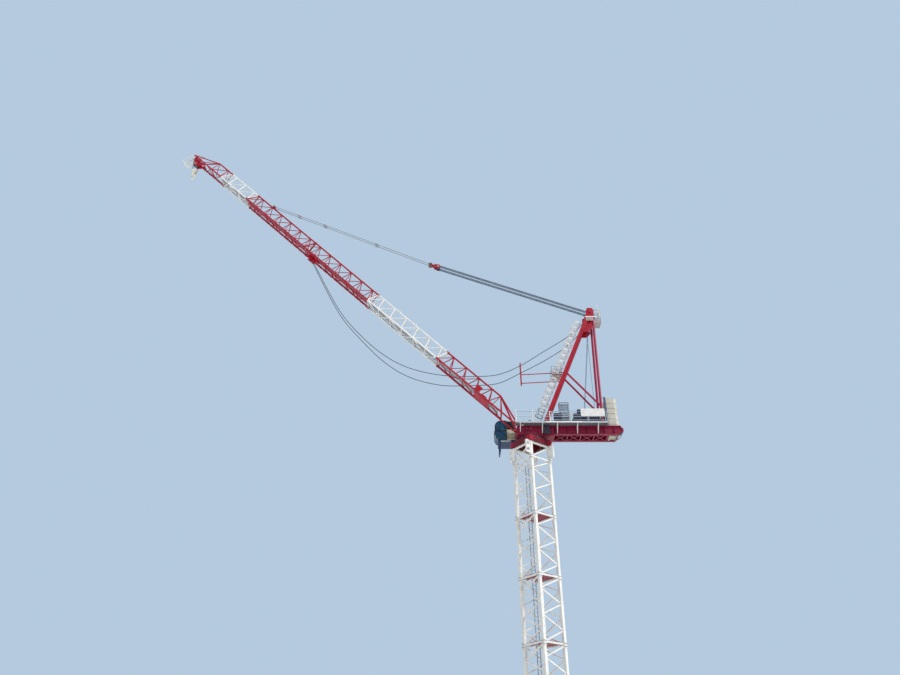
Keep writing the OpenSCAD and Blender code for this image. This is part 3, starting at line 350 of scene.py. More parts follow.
def rod(bm, start, end, width, sides=8, end_width=None, place=HERE):
    """A round bar between two points."""
    start, end = place @ Vector(start), place @ Vector(end)
    run = end - start
    made = bmesh.ops.create_cone(bm, cap_ends=True, segments=sides, radius1=width / 2,
                                 radius2=(end_width or width) / 2, depth=run.length)["verts"]
    turn = run.to_track_quat("Z", "Y").to_matrix().to_4x4()
    bmesh.ops.transform(bm, matrix=Matrix.Translation((start + end) / 2) @ turn, verts=made)


def turned(bm, profile, place=HERE, sides=24):
    """A lathe part: profile is (radius, height) pairs along place's Z, closed at both ends."""
    rings = []
    for radius, height in profile:
        if radius <= 1e-6:
            rings.append([bm.verts.new(place @ Vector((0, 0, height)))])
        else:
            rings.append([bm.verts.new(place @ Vector((radius * math.cos(math.tau * k / sides),
                                                       radius * math.sin(math.tau * k / sides), height)))
                          for k in range(sides)])
    for low, high in zip(rings, rings[1:]):
        for k in range(sides):
            j = (k + 1) % sides
            corners = [low[k % len(low)], low[j % len(low)], high[j % len(high)], high[k % len(high)]]
            unique = [v for i, v in enumerate(corners) if v not in corners[:i]]
            if len(unique) > 2:
                bm.faces.new(unique)
    for ring in (rings[0], rings[-1]):
        if len(ring) > 1:
            bm.faces.new(ring)


def plate(bm, outline, thick, place=HERE):
    """A flat plate: outline lies in place's XY plane, and thick is centred on it."""
    low = [bm.verts.new(place @ Vector((x, y, -thick / 2))) for x, y in outline]
    high = [bm.verts.new(place @ Vector((x, y, thick / 2))) for x, y in outline]
    bm.faces.new(low[::-1])
    bm.faces.new(high)
    for k in range(len(outline)):
        j = (k + 1) % len(outline)
        bm.faces.new((low[k], low[j], high[j], high[k]))


def add(name, mesh):
    """A new object of mesh, in the scene."""
    made = bpy.data.objects.new(name, mesh)
    bpy.context.scene.collection.objects.link(made)
    return made


def keep(bm, name, body, material, smooth=False):
    """Finishes a mesh as a piece on its body."""
    bmesh.ops.recalc_face_normals(bm, faces=bm.faces)
    mesh = bpy.data.meshes.new(name)
    bm.to_mesh(mesh)
    bm.free()
    mesh.materials.append(material)
    piece = add(name, mesh)
    if smooth:
        mesh.shade_smooth()
        mesh.set_sharp_from_angle(angle=math.radians(35))
    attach(piece, body)
    return piece


# Frames that turn a part's own Z along the crane's X or Y
FACE_Y = Matrix.Rotation(math.radians(90), 4, "X")
FACE_X = Matrix.Rotation(math.radians(90), 4, "Y")


def at(x, y, z):
    return Matrix.Translation((x, y, z))


def outwards(side):
    """Turns a part's own Z to the near side of the crane (1) or to the far side (-1)."""
    return Matrix.Rotation(-side * math.pi / 2, 4, "X")


# %% [markdown]
# ## Slack ropes
# Two hoist ropes hang in long curves from the A-frame's head, through the guide arms, to a sheave under the
# jib. They follow the same listed points as the CAD tubes. Each is swept as a 12-sided tube, with a UV map
# that runs along it for the lay. They cross the luffing joint.

# %% Rope routes
UPPER_ROUTE = [
    (-0.632, -0.084, 4.222), (-0.540, -0.088, 4.112), (-0.386, -0.096, 3.996), (-0.186, -0.112, 3.869),
    (0.039, -0.118, 3.719), (0.264, -0.124, 3.622), (0.514, -0.130, 3.606), (0.814, -0.132, 3.622),
    (1.114, -0.132, 3.698), (1.364, -0.130, 3.838), (1.614, -0.120, 4.064), (1.864, -0.080, 4.366),
    (2.169, -0.014, 4.925)]
LOWER_ROUTE = [
    (-0.632, -0.084, 4.182), (-0.550, -0.090, 4.050), (-0.386, -0.104, 3.897), (-0.186, -0.116, 3.766),
    (0.039, -0.118, 3.637), (0.264, -0.128, 3.527), (0.514, -0.134, 3.508), (0.814, -0.136, 3.512),
    (1.114, -0.136, 3.598), (1.364, -0.132, 3.762), (1.614, -0.120, 4.018), (1.864, -0.072, 4.325),
    (2.179, 0.000, 4.915)]
SLACK_WIDTH = 0.006


def through(points, steps):
    """A smooth line through points, steps to a span."""
    line = []
    for i in range(len(points) - 1):
        a, b, c, d = (Vector(points[max(0, min(len(points) - 1, k))]) for k in (i - 1, i, i + 1, i + 2))
        for k in range(steps):
            t = k / steps
            line.append(0.5 * (2 * b + (c - a) * t + (2 * a - 5 * b + 4 * c - d) * t * t
                               + (3 * b - a - 3 * c + d) * t ** 3))
    return line + [Vector(points[-1])]


def tube(line, width, sides=12):
    """A closed mesh tube along line, with UV u round it and v along it in metres."""
    bm = bmesh.new()
    uv = bm.loops.layers.uv.new("lay")
    rings, far = [], [0.0]
    for i, point in enumerate(line):
        run = (line[min(i + 1, len(line) - 1)] - line[max(i - 1, 0)]).normalized()
        side = run.cross(Vector((0, 1, 0))).normalized()
        up = side.cross(run)
        rings.append([bm.verts.new(point + width / 2 * (side * math.cos(math.tau * k / sides)
                                                        + up * math.sin(math.tau * k / sides)))
                      for k in range(sides)])
        if i:
            far.append(far[-1] + (point - line[i - 1]).length)
    for i in range(len(rings) - 1):
        for k in range(sides):
            j = (k + 1) % sides
            face = bm.faces.new((rings[i][k], rings[i][j], rings[i + 1][j], rings[i + 1][k]))
            corners = [(k, i), (k + 1, i), (k + 1, i + 1), (k, i + 1)]
            for loop, (u, v) in zip(face.loops, corners):
                loop[uv].uv = (u / sides, far[v])
    bm.faces.new(rings[0][::-1])
    bm.faces.new(rings[-1])
    return bm, far[-1]


for name, route in (("slack_rope_upper", UPPER_ROUTE), ("slack_rope_lower", LOWER_ROUTE)):
    line = through(route, 10)
    bm, rope_length = tube(line, SLACK_WIDTH)
    mesh = bpy.data.meshes.new(name + "_wire")
    bmesh.ops.recalc_face_normals(bm, faces=bm.faces)
    bm.to_mesh(mesh)
    bm.free()
    mesh.materials.append(ROPE)
    mesh.shade_smooth()
    rope = add(name + "_wire", mesh)
    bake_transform(rope)
    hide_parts(name)
    print(name, round(rope_length, 3), "m")

# %% [markdown]
# ## Falls
# The falls of the luffing tackle and of the hook are straight ropes under load. Each is a copy of the CAD
# falls in the taut rope finish, and each has a ring of corners at either end and none between.

# %% Falls
for name, upper, lower, start, end in (
        ("luffing_falls", "head_tackle", "block", (-0.50, 0, 4.31), (0.70, 0, 4.80)),
        ("hoist_falls", "hoist_tackle", "hook_body", (3.6975, 0, 6.36), (3.6975, 0, 6.30))):
    falls = add(name + "_wires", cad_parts[name].data.copy())
    falls.data.materials.clear()
    falls.data.materials.append(TAUT)
    falls.data.polygons.foreach_set("material_index", [0] * len(falls.data.polygons))
    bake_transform(falls)
    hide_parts(name)
    print(falls.name, len(falls.data.polygons), "faces")

# %% [markdown]
# ## Repeats with Geometry Nodes
# A crane has hundreds of bolts, pins, clamps and rope turns. One small node group copies a part onto marked
# points and turns its Z to each point's direction, so every row of bolts is only a list of places.

# %% Repeat node group
REPEAT = bpy.data.node_groups.new("repeat_part", "GeometryNodeTree")
for label, kind in (("Places", "NodeSocketGeometry"), ("Part", "NodeSocketObject"),
                    ("Finish", "NodeSocketMaterial")):
    REPEAT.interface.new_socket(name=label, in_out="INPUT", socket_type=kind)
REPEAT.interface.new_socket(name="Copies", in_out="OUTPUT", socket_type="NodeSocketGeometry")
g = Tree(REPEAT)
given = g.node("NodeGroupInput")
facing = g.node("GeometryNodeInputNamedAttribute", {"data_type": "FLOAT_VECTOR"}, Name="facing")
towards = next(o for o in facing.outputs if o.enabled and o.name == "Attribute")
turn = g.node("FunctionNodeAlignRotationToVector", {"axis": "Z"}, Vector=towards)
part = g.node("GeometryNodeObjectInfo", Object=given.outputs["Part"])
copies = g.node("GeometryNodeInstanceOnPoints", Points=given.outputs["Places"],
                Instance=part.outputs["Geometry"], Rotation=turn.outputs[0])
whole = g.node("GeometryNodeRealizeInstances", Geometry=copies.outputs[0])
done = g.node("GeometryNodeSetMaterial", Geometry=whole.outputs[0], Material=given.outputs["Finish"])
g.node("NodeGroupOutput", Copies=done.outputs[0])
SOCKETS = {item.name: item.identifier for item in REPEAT.interface.items_tree if item.in_out == "INPUT"}
print("repeat group inputs:", sorted(SOCKETS))


# %% Repeat helper
def repeat(name, places, bm, body, material):
    """Copies of the small mesh bm on places, which are (point, direction) pairs, as one piece."""
    bmesh.ops.recalc_face_normals(bm, faces=bm.faces)
    small = bpy.data.meshes.new(name + "_part")
    bm.to_mesh(small)
    bm.free()
    source = add(name + "_part", small)
    points = bpy.data.meshes.new(name + "_places")
    points.from_pydata([tuple(p) for p, d in places], [], [])
    marks = points.attributes.new("facing", "FLOAT_VECTOR", "POINT")
    marks.data.foreach_set("vector", [c for p, d in places for c in d])
    carrier = add(name + "_places", points)
    modifier = carrier.modifiers.new("repeat", "NODES")
    modifier.node_group = REPEAT
    modifier[SOCKETS["Part"]] = source
    modifier[SOCKETS["Finish"]] = material
    bpy.context.view_layer.update()
    mesh = bpy.data.meshes.new_from_object(carrier.evaluated_get(bpy.context.evaluated_depsgraph_get()))
    if "facing" in mesh.attributes:
        mesh.attributes.remove(mesh.attributes["facing"])
    carrier.modifiers.clear()
    for made in (source, carrier):
        bpy.data.objects.remove(made)
    mesh.name = name
    piece = add(name, mesh)
    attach(piece, body)
    return piece


def bolt(width, high=0.6):
    """A hexagon head on a washer, standing on z = 0."""
    bm = bmesh.new()
    turned(bm, [(width * 0.62, 0), (width * 0.62, width * 0.14)], sides=12)
    turned(bm, [(width * 0.5, width * 0.12), (width * 0.5, width * high * 0.85),
                (width * 0.42, width * high)], sides=6)
    return bm


# %% [markdown]
# ## Places on the crane
# The CAD model's main levels, in metres, and the frames of the mast and the jib. The mast stands 37 degrees
# off the jib, and the jib rises at 44.2 degrees.

# %% Levels and frames
DECK = 2.975
LEG = 0.108
MAST_TURN = math.radians(37)
JIB_RISE = math.radians(44.2)
JOINTS = [1.04, 2.036, 3.032, 4.028, 4.526]
JIB_END = 5.024
HALF = 0.075
TIP = Vector((3.697504, 0, 6.382812))
APEX = Vector((-0.67, 0, 4.245))
JIB = Matrix.Translation((0.104, 0, 2.965)) @ Matrix.Rotation(-JIB_RISE, 4, "Y")


def mast_at(z, quarter=0):
    return Matrix.Translation((0, 0, z)) @ Matrix.Rotation(MAST_TURN + quarter * math.pi / 2, 4, "Z")


def spot(place, point, direction):
    return place @ Vector(point), place.to_3x3() @ Vector(direction)


print("jib end", tuple(round(v, 3) for v in JIB @ Vector((JIB_END, 0, 0))))

# %% [markdown]
# ## Mast
# The sections meet at square sockets. Each is held by heavy bolts on its two outer faces, four to a corner.
# A power cable climbs inside one leg, and folded plates stiffen the cross base. Raised plates cover the
# corners of the slewing seat.

# %% Mast details
places = []
for k in range(6):
    for quarter in range(4):
        for lift in ((0.011,) if k == 0 else (-0.011, 0.011)):
            level = mast_at(0.15 + 0.5 * k + lift, quarter)
            for off in (-0.008, 0.008):
                places.append(spot(level, (0.123, LEG + off, 0), (1, 0, 0)))
                places.append(spot(level, (LEG + off, 0.123, 0), (0, 1, 0)))
repeat("mast_joint_bolts", places, bolt(0.0075), "mast", GREY)
print("mast bolts:", len(places))

SEAT_LOW = 2.796
places = []
for quarter in range(4):
    level = mast_at(SEAT_LOW, quarter)
    for high in (0.011, 0.039):
        for k in range(8):
            places.append(spot(level, (0.128, -0.105 + 0.03 * k, high), (1, 0, 0)))
repeat("seat_bolts", places, bolt(0.008), "mast", SHADED_RED)

bm = bmesh.new()
for quarter in range(4):
    level = mast_at(SEAT_LOW, quarter)
    for off in (0.098, 0.119):
        slab(bm, (0.1288, off, 0.026), (0.003, 0.016, 0.046), level, 0.0008)
        slab(bm, (off, 0.1288, 0.026), (0.016, 0.003, 0.046), level, 0.0008)
    slab(bm, (0.1288, 0.1085, 0.046), (0.0022, 0.037, 0.006), level)
    slab(bm, (0.1085, 0.1288, 0.046), (0.037, 0.0022, 0.006), level)
keep(bm, "seat_corner_plates", "mast", RED)

bm = bmesh.new()
for quarter in range(4):
    level = mast_at(0.07, quarter)
    for turn in (0, 90):
        rib = level @ at(LEG, LEG, 0) @ Matrix.Rotation(math.radians(turn), 4, "Z") @ FACE_Y
        plate(bm, [(-0.012, 0), (-0.045, 0), (-0.012, 0.04)], 0.004, rib)
keep(bm, "base_ribs", "mast", MAST_WHITE)

bm = bmesh.new()
tray = mast_at(0)
for off in (0.0, 0.007):
    rod(bm, (0.092, 0.088 - off, 0.22), (0.092, 0.088 - off, 2.79), 0.005, place=tray)
for k in range(18):
    slab(bm, (0.094, 0.0845, 0.26 + 0.145 * k), (0.006, 0.018, 0.006), tray)
slab(bm, (0.086, 0.075, 0.2), (0.022, 0.04, 0.06), tray, 0.003)
keep(bm, "mast_cable", "mast", RUBBER)

# %% [markdown]
# ## Slewing platform
# Bolts clamp the platform to the slewing ring. Web stiffeners, pin keepers at the jib foot and an electrical
# box on the near side break up the plain plates, as on the real crane.

# %% Platform details
places = []
for k in range(48):
    turn = math.tau * k / 48
    x, y = 0.105 * math.cos(turn), 0.105 * math.sin(turn)
    if abs(y) > 0.092:
        places.append(((x, y, 2.895), (0, 0, 1)))
for side in (-1, 1):
    for x in (0.004, 0.04, 0.068):
        places.append(((x, side * 0.085, 2.9), (0, side, 0)))
        places.append(((x, side * 0.085, 2.945), (0, side, 0)))
    for x, z in ((0.104, 2.985), (0.119, 2.965), (0.104, 2.945), (0.089, 2.965)):
        places.append(((x, side * 0.1015, z), (0, side, 0)))
repeat("platform_bolts", places, bolt(0.007), "slewing_part", GREY)

bm = bmesh.new()
for side in (-1, 1):
    turned(bm, [(0.019, 0), (0.019, 0.003), (0.012, 0.0035)], at(0.104, side * 0.098, 2.965) @
           outwards(side))
    for x in (-0.745, -0.66, -0.5, -0.325, -0.22):
        slab(bm, (x, side * 0.0785, DECK - 0.0425), (0.004, 0.011, 0.073))
    for x in (-0.185, -0.06, 0.03):
        slab(bm, (x, side * 0.0875, DECK - 0.05), (0.005, 0.005, 0.098))
keep(bm, "platform_ribs", "slewing_part", SHADED_RED)

bm = bmesh.new()
slab(bm, (-0.1375, 0.0975, 2.928), (0.059, 0.025, 0.085), bevel=0.002)
slab(bm, (-0.1375, 0.1105, 2.928), (0.05, 0.0015, 0.075), bevel=0.0006)
for z in (2.895, 2.945):
    slab(bm, (-0.115, 0.1118, z), (0.004, 0.003, 0.008))
for k in range(4):
    slab(bm, (-0.145, 0.1115, 2.95 - 0.004 * k), (0.02, 0.0015, 0.0015))
keep(bm, "switch_box", "slewing_part", STORM)

bm = bmesh.new()
for side in (-1, 1):
    place = at(0.005, side * 0.062, 3.011)
    turned(bm, [(0.0185, -0.002), (0.0185, 0.002), (0.013, 0.004), (0.013, 0.021), (0.009, 0.024),
                (0, 0.024)], place)
    for k in range(8):
        fin = place @ Matrix.Rotation(k * math.tau / 8, 4, "Z")
        slab(bm, (0.0148, 0, 0.013), (0.004, 0.0015, 0.014), fin)
keep(bm, "slewing_motors", "slewing_part", NAVY, smooth=True)

# %% [markdown]
# ## Railings and decks
# Two thinner rails and a toe board complete the walkway railing. Two taller posts stand by the jib foot.
# A row of short bars under the walkway shows that it is grating, not sheet.

# %% Railing details
WALK_BACK = -0.677
bm = bmesh.new()
for y, end in ((0.152, 0.142), (-0.152, 0.017)):
    slab(bm, ((end + WALK_BACK) / 2, y, DECK + 0.006), (end - WALK_BACK, 0.0016, 0.012))
    for z in (0.028, 0.08):
        rod(bm, (WALK_BACK, y, DECK + z), (end, y, DECK + z), 0.0026, 6)
keep(bm, "toe_boards", "slewing_part", RAIL)
bm = bmesh.new()
slab(bm, (-0.29, 0.1531, DECK + 0.004), (0.32, 0.0014, 0.01))
for x, high in ((0.137, 0.128), (-0.014, 0.128), (-0.167, 0.1)):
    rod(bm, (x, 0.152, DECK), (x, 0.152, DECK + high), 0.0078, 10)
    turned(bm, [(0.006, 0), (0.006, 0.004), (0.002, 0.007)], at(x, 0.152, DECK + high - 0.002), 10)
inner_front, inner_high = -0.03, 0.104
for y in (-0.088, 0.088):
    rod(bm, (WALK_BACK, y, DECK + inner_high), (inner_front, y, DECK + inner_high), 0.003, 6)
    rod(bm, (WALK_BACK, y, DECK + 0.055), (inner_front, y, DECK + 0.055), 0.0026, 6)
    for k in range(5):
        x = WALK_BACK + (inner_front - WALK_BACK) * k / 4
        rod(bm, (x, y, DECK), (x, y, DECK + inner_high), 0.004, 6)
keep(bm, "railing_bars", "slewing_part", WHITE)

places = []
for side, end in ((1, 0.06), (-1, 0.015)):
    for k in range(int((end - WALK_BACK) / 0.009)):
        places.append(((WALK_BACK + 0.002 + 0.009 * k, side * 0.12, DECK - 0.0042), (0, 0, -1)))
bm = bmesh.new()
slab(bm, (0, 0, 0.0006), (0.0018, 0.064, 0.0016))
repeat("walkway_bars", places, bm, "slewing_part", GRATE)

# %% [markdown]
# ## Winches and drives
# Each drum carries a layer of rope, laid turn by turn. Motors with cooling fins sit outside the near cheek,
# brakes outside the far one, and hoses run from the pump along the deck. Taut ropes rise to the A-frame.
# A row of louvred housings stands along the near edge, because the photo shows boxes of unlike height there.

# %% Rope on the drums
def ring_of_rope(radius, width, sides=28):
    bm = bmesh.new()
    rings = []
    for k in range(sides):
        turn = math.tau * k / sides
        mid = Vector((radius * math.cos(turn), radius * math.sin(turn), 0))
        out = mid.normalized()
        rings.append([bm.verts.new(mid + width / 2 * (out * math.cos(math.tau * j / 6) +
                                                      Vector((0, 0, math.sin(math.tau * j / 6)))))
                      for j in range(6)])
    for k in range(sides):
        for j in range(6):
            bm.faces.new((rings[k][j], rings[(k + 1) % sides][j], rings[(k + 1) % sides][(j + 1) % 6],
                          rings[k][(j + 1) % 6]))
    return bm


HOIST_X, LUFFING_X, DRUM_Z = -0.468, -0.634, 3.023
ROPE_WIDTH = 0.0036
for body, x in (("hoist_drum", HOIST_X), ("luffing_drum", LUFFING_X)):
    places = [((x, -0.0305 + ROPE_WIDTH * k, DRUM_Z), (0, 1, 0)) for k in range(18)]
    repeat(body + "_rope", places, ring_of_rope(0.0257, ROPE_WIDTH), body, TAUT)
    places = []
    for side in (-1, 1):
        for k in range(8):
            turn = math.tau * k / 8
            across, up = 0.0265 * math.cos(turn), 0.0265 * math.sin(turn)
            places.append(((x + across, side * 0.036, DRUM_Z + up), (0, side, 0)))
    repeat(body + "_bolts", places, bolt(0.0045), body, GREY)

# %% Winch machinery
bm = bmesh.new()
for x, size in ((HOIST_X, 1.0), (LUFFING_X, 0.85)):
    near = at(x, 0.052, DRUM_Z) @ outwards(1)
    far = at(x, -0.052, DRUM_Z) @ outwards(-1)
    turned(bm, [(0.027 * size, 0), (0.027 * size, 0.004), (0.021 * size, 0.005), (0.021 * size, 0.026),
                (0.016 * size, 0.03), (0, 0.03)], near)
    for k in range(5):
        turned(bm, [(0.0235 * size, 0.008 + 0.0038 * k), (0.0235 * size, 0.0095 + 0.0038 * k)], near)
    turned(bm, [(0.024 * size, 0), (0.024 * size, 0.006), (0.01, 0.008), (0.01, 0.022), (0, 0.022)], far)
    slab(bm, (x + 0.036, -0.062, 3.0), (0.024, 0.02, 0.05), bevel=0.003)
    slab(bm, (x - 0.03, 0.064, 3.0), (0.02, 0.022, 0.05), bevel=0.003)
slab(bm, (-0.56, -0.02, 3.0), (0.026, 0.07, 0.05), bevel=0.002)
for k in range(7):
    turned(bm, [(0.0345, 0), (0.0345, 0.0018)], at(-0.236 + 0.0075 * k, 0.02, 3.017) @ FACE_X)
slab(bm, (-0.212, -0.045, 3.0), (0.06, 0.05, 0.05), bevel=0.003)
turned(bm, [(0.012, 0), (0.012, 0.03), (0.008, 0.034), (0, 0.034)], at(-0.212, -0.045, 3.025))
keep(bm, "winch_machinery", "slewing_part", NAVY, smooth=True)

bm = bmesh.new()
for x0, x1, top in ((-0.628, -0.572, 3.098), (-0.568, -0.478, 3.092), (-0.474, -0.394, 3.1),
                    (-0.288, -0.215, 3.103)):
    slab(bm, ((x0 + x1) / 2, 0.069, (top + 2.977) / 2), (x1 - x0, 0.028, top - 2.977), bevel=0.003)
    slab(bm, ((x0 + x1) / 2, 0.069, top - 0.012), (x1 - x0 + 0.003, 0.031, 0.003))
    for k in range(int((x1 - x0) / 0.012)):
        slab(bm, (x0 + 0.008 + 0.012 * k, 0.0838, (top + 2.965) / 2), (0.003, 0.002, top - 3.005))
slab(bm, (-0.46, 0.069, 3.12), (0.058, 0.026, 0.04), bevel=0.002)
for x in (-0.676, -0.6):
    slab(bm, (x, 0.04, 3.078), (0.022, 0.02, 0.036), bevel=0.002)
keep(bm, "winch_housings", "slewing_part", NAVY)

bm = bmesh.new()
for y, z0, far in ((0.038, 2.995, -0.40), (0.046, 2.99, -0.58), (-0.02, 2.99, -0.545), (-0.03, 2.985, -0.36)):
    line = through([(-0.245, y * 0.6, 3.0), (-0.275, y, z0), (-0.33, y * 1.1, z0 - 0.006),
                    (far + 0.03, y, z0), (far, y, z0 + 0.03)], 8)
    hose, length = tube(line, 0.0055, 8)
    scrap = bpy.data.meshes.new("hose")
    hose.to_mesh(scrap)
    hose.free()
    bm.from_mesh(scrap)
    bpy.data.meshes.remove(scrap)
keep(bm, "deck_hoses", "slewing_part", RUBBER, smooth=True)

bm = bmesh.new()
for x0, x1, y in ((-0.6075, -0.625, 0.006), (-0.4945, -0.64, -0.012), (-0.4945, -0.644, 0.02)):
    rod(bm, (x0, y, DRUM_Z), (x1, y, 4.073), 0.003, 8)
keep(bm, "winch_ropes", "slewing_part", TAUT)

places = []
for x, length in ((HOIST_X, 0.188), (LUFFING_X, 0.112)):
    for side in (-1, 1):
        for dx in (-length / 2 + 0.012, length / 2 - 0.012):
            for z in (0.012, 0.036):
                places.append(((x + dx, side * 0.052, DECK + z), (0, side, 0)))
for side in (-1, 1):
    for dx in (-0.022, 0.022):
        places.append(((-0.12 + dx, side * 0.066 + side * 0.017, DECK + 0.008), (0, 0, 1)))
        places.append(((-0.65 + dx * 0.75, side * 0.073, DECK + 0.008), (0, 0, 1)))
repeat("winch_bolts", places, bolt(0.006), "slewing_part", GREY)

# %% [markdown]
# ## Cabinet, sign and ballast
# The tall cage holds a control cabinet behind louvres. The sign board is a bare sheet on battens. The ballast
# blocks carry steel lifting loops, and dull packing stands slightly proud of the joints between them.

# %% Cabinet
bm = bmesh.new()
slab(bm, (-0.325, 0, 3.037), (0.078, 0.042, 0.12), bevel=0.002)
for side in (-1, 1):
    slab(bm, (-0.325, side * 0.0215, 3.037), (0.07, 0.0015, 0.112))
    slab(bm, (-0.297, side * 0.0232, 3.037), (0.003, 0.003, 0.03))
keep(bm, "control_cabinet", "slewing_part", SHADE)
places = [((-0.325, side * 0.0305, DECK + 0.014 + 0.0205 * k), (0, side, 0.5))
          for side in (-1, 1) for k in range(13)]
bm = bmesh.new()
slab(bm, (0, 0, 0), (0.084, 0.006, 0.0014))
repeat("cabinet_louvres", places, bm, "slewing_part", BLUE)

# %% Sign battens and ballast fittings
bm = bmesh.new()
for x in (-0.64, -0.554, -0.468):
    slab(bm, (x, 0.1532, 3.071), (0.007, 0.0022, 0.074))
for z in (3.045, 3.097):
    slab(bm, (-0.554, 0.1532, z), (0.205, 0.0018, 0.006))
for x in (-0.66, -0.448):
    for z in (3.036, 3.106):
        slab(bm, (x, 0.156, z), (0.004, 0.0045, 0.004))
keep(bm, "sign_battens", "slewing_part", GREY)

STACK_LOW, BLOCK_HIGH, BLOCKS = 2.899, 0.053, 7
bm = bmesh.new()
top = STACK_LOW + BLOCKS * BLOCK_HIGH
for x in (-0.775, -0.73):
    for y in (-0.03, 0.03):
        rod(bm, (x - 0.007, y, top - 0.002), (x - 0.007, y, top + 0.012), 0.003, 6)
        rod(bm, (x + 0.007, y, top - 0.002), (x + 0.007, y, top + 0.012), 0.003, 6)
        rod(bm, (x - 0.008, y, top + 0.012), (x + 0.008, y, top + 0.012), 0.003, 6)
keep(bm, "ballast_fittings", "slewing_part", GREY)

STACK = [(-0.704, -0.052), (-0.704, 0.052), (-0.78, 0.052), (-0.81, 0.022), (-0.81, -0.022), (-0.78, -0.052)]
STACK_MIDDLE, SPREAD = -0.757, 0.006
bm = bmesh.new()
for i in range(1, BLOCKS):
    ring = [(x + SPREAD * (x - STACK_MIDDLE), y * (1 + 2 * SPREAD)) for x, y in STACK]
    plate(bm, ring, 0.0028, at(0, 0, STACK_LOW + BLOCK_HIGH * i - 0.00025))
keep(bm, "ballast_joints", "slewing_part", JOINT)

bm = bmesh.new()
plate(bm, [(0.0015, 0.034), (0.0525, 0.0005), (0.0585, 0.0005), (0.008, 0.0365), (0.008, 0.06),
           (0.0015, 0.056)], 0.11, at(-0.83, 0, DECK - 0.085) @ FACE_Y)
keep(bm, "tail_plate", "slewing_part", NAVY)
# White strips along the tail's sloped end are a painted highlight that stands for the sunlit rear of the
# ballast blocks.
bm = bmesh.new()
for side in (-1, 1):
    plate(bm, [(-0.799, -2.9765), (-0.797, -2.9785), (-0.8275, -2.9485), (-0.8285, -2.9475)], 0.03,
          at(0, side * 0.07, 0) @ FACE_Y.inverted())
slab(bm, (-0.7985, 0, 2.978), (0.006, 0.168, 0.004))
keep(bm, "tail_edges", "slewing_part", WHITE)

# %% [markdown]
# ## A-frame
# Round cap plates close the head pin, a pale band and a panel cross the head, and a short mast with lamps
# leans over the service cage. Flat bands thicken the ladder's hoops, and its landing has its own rail.

# %% A-frame details
bm = bmesh.new()
for side in (-1, 1):
    turned(bm, [(0.02, 0), (0.02, 0.0015), (0.013, 0.002), (0.013, 0.005), (0, 0.005)],
           at(APEX.x, side * 0.06, APEX.z) @ outwards(side))
    slab(bm, (-0.648, side * 0.061, 4.19), (0.06, 0.0016, 0.006))
    slab(bm, (-0.655, side * 0.061, 4.275), (0.004, 0.0016, 0.02))
    for x, z in ((-0.12, 2.984), (-0.65, 2.984)):
        for dx in (-0.016, 0.016):
            slab(bm, (x + dx, side * 0.068 + side * 0.008, z + 0.004), (0.004, 0.004, 0.008))
keep(bm, "head_caps", "slewing_part", RED, smooth=True)

bm = bmesh.new()
for side in (-1, 1):
    slab(bm, (-0.66, side * 0.0768, 4.171), (0.1, 0.0018, 0.011))
keep(bm, "head_band", "slewing_part", WHITE)

bm = bmesh.new()
for side in (-1, 1):
    slab(bm, (-0.654, side * 0.0782, 4.143), (0.074, 0.0022, 0.04), bevel=0.0006)
    slab(bm, (-0.654, side * 0.0798, 4.143), (0.012, 0.002, 0.024))
    slab(bm, (-0.69, side * 0.071, 4.155), (0.003, 0.015, 0.012))
keep(bm, "head_panels", "slewing_part", DUSTY)

places = []
for side in (-1, 1):
    for x, z in ((-0.662, 4.117), (-0.632, 4.117), (-0.655, 4.11), (-0.64, 4.07), (-0.622, 4.13),
                 (-0.612, 4.04), (-0.59, 4.03), (-0.605, 4.09)):
        places.append(((x, side * 0.0632, z), (0, side, 0)))
repeat("gusset_bolts", places, bolt(0.0065), "slewing_part", SHADED_RED)

bm = bmesh.new()
rod(bm, (-0.7675, 0.044, 4.18), (-0.752, 0.044, 4.33), 0.0045, 8, 0.003)
rod(bm, (-0.7675, 0.044, 4.19), (-0.7625, 0.044, 4.275), 0.007, 8)
turned(bm, [(0.004, 0), (0.006, 0.003), (0.006, 0.01), (0.003, 0.013), (0, 0.013)],
       at(-0.751, 0.044, 4.326), 12)
rod(bm, (-0.7675, -0.044, 4.27), (-0.7675, -0.044, 4.3), 0.004, 8)
turned(bm, [(0.005, 0), (0.007, 0.003), (0.007, 0.012), (0, 0.015)], at(-0.7675, -0.044, 4.298), 12)
for z in (4.275, 4.268):
    rod(bm, (-0.71, -0.044, z), (-0.71, 0.044, z), 0.003, 6)
keep(bm, "head_lamps", "slewing_part", WHITE, smooth=True)

LADDER_LOW, LADDER_HIGH = Vector((-0.0864, 0, 3.0226)), Vector((-0.5607, 0, 4.1293))
LADDER_RUN = LADDER_HIGH - LADDER_LOW
LADDER_AT = Matrix.Translation(LADDER_LOW) @ Matrix.Rotation(math.atan2(LADDER_RUN.x, LADDER_RUN.z), 4, "Y")
bm = bmesh.new()
for k in range(2, 17):
    up = 0.08 + (LADDER_RUN.length - 0.0845) * k / 16
    for turn in range(24):
        a, b = (math.tau * (turn + end) / 24 for end in (0, 1))
        corners = [[(0.028 + r * math.cos(t), r * math.sin(t)) for t in (a, b)] for r in (0.0342, 0.037)]
        plate(bm, [*corners[0], *corners[1][::-1]], 0.016, LADDER_AT @ at(0, 0, up))
bmesh.ops.remove_doubles(bm, verts=bm.verts, dist=0.00001)
keep(bm, "ladder_hoop_bands", "slewing_part", LADDER)

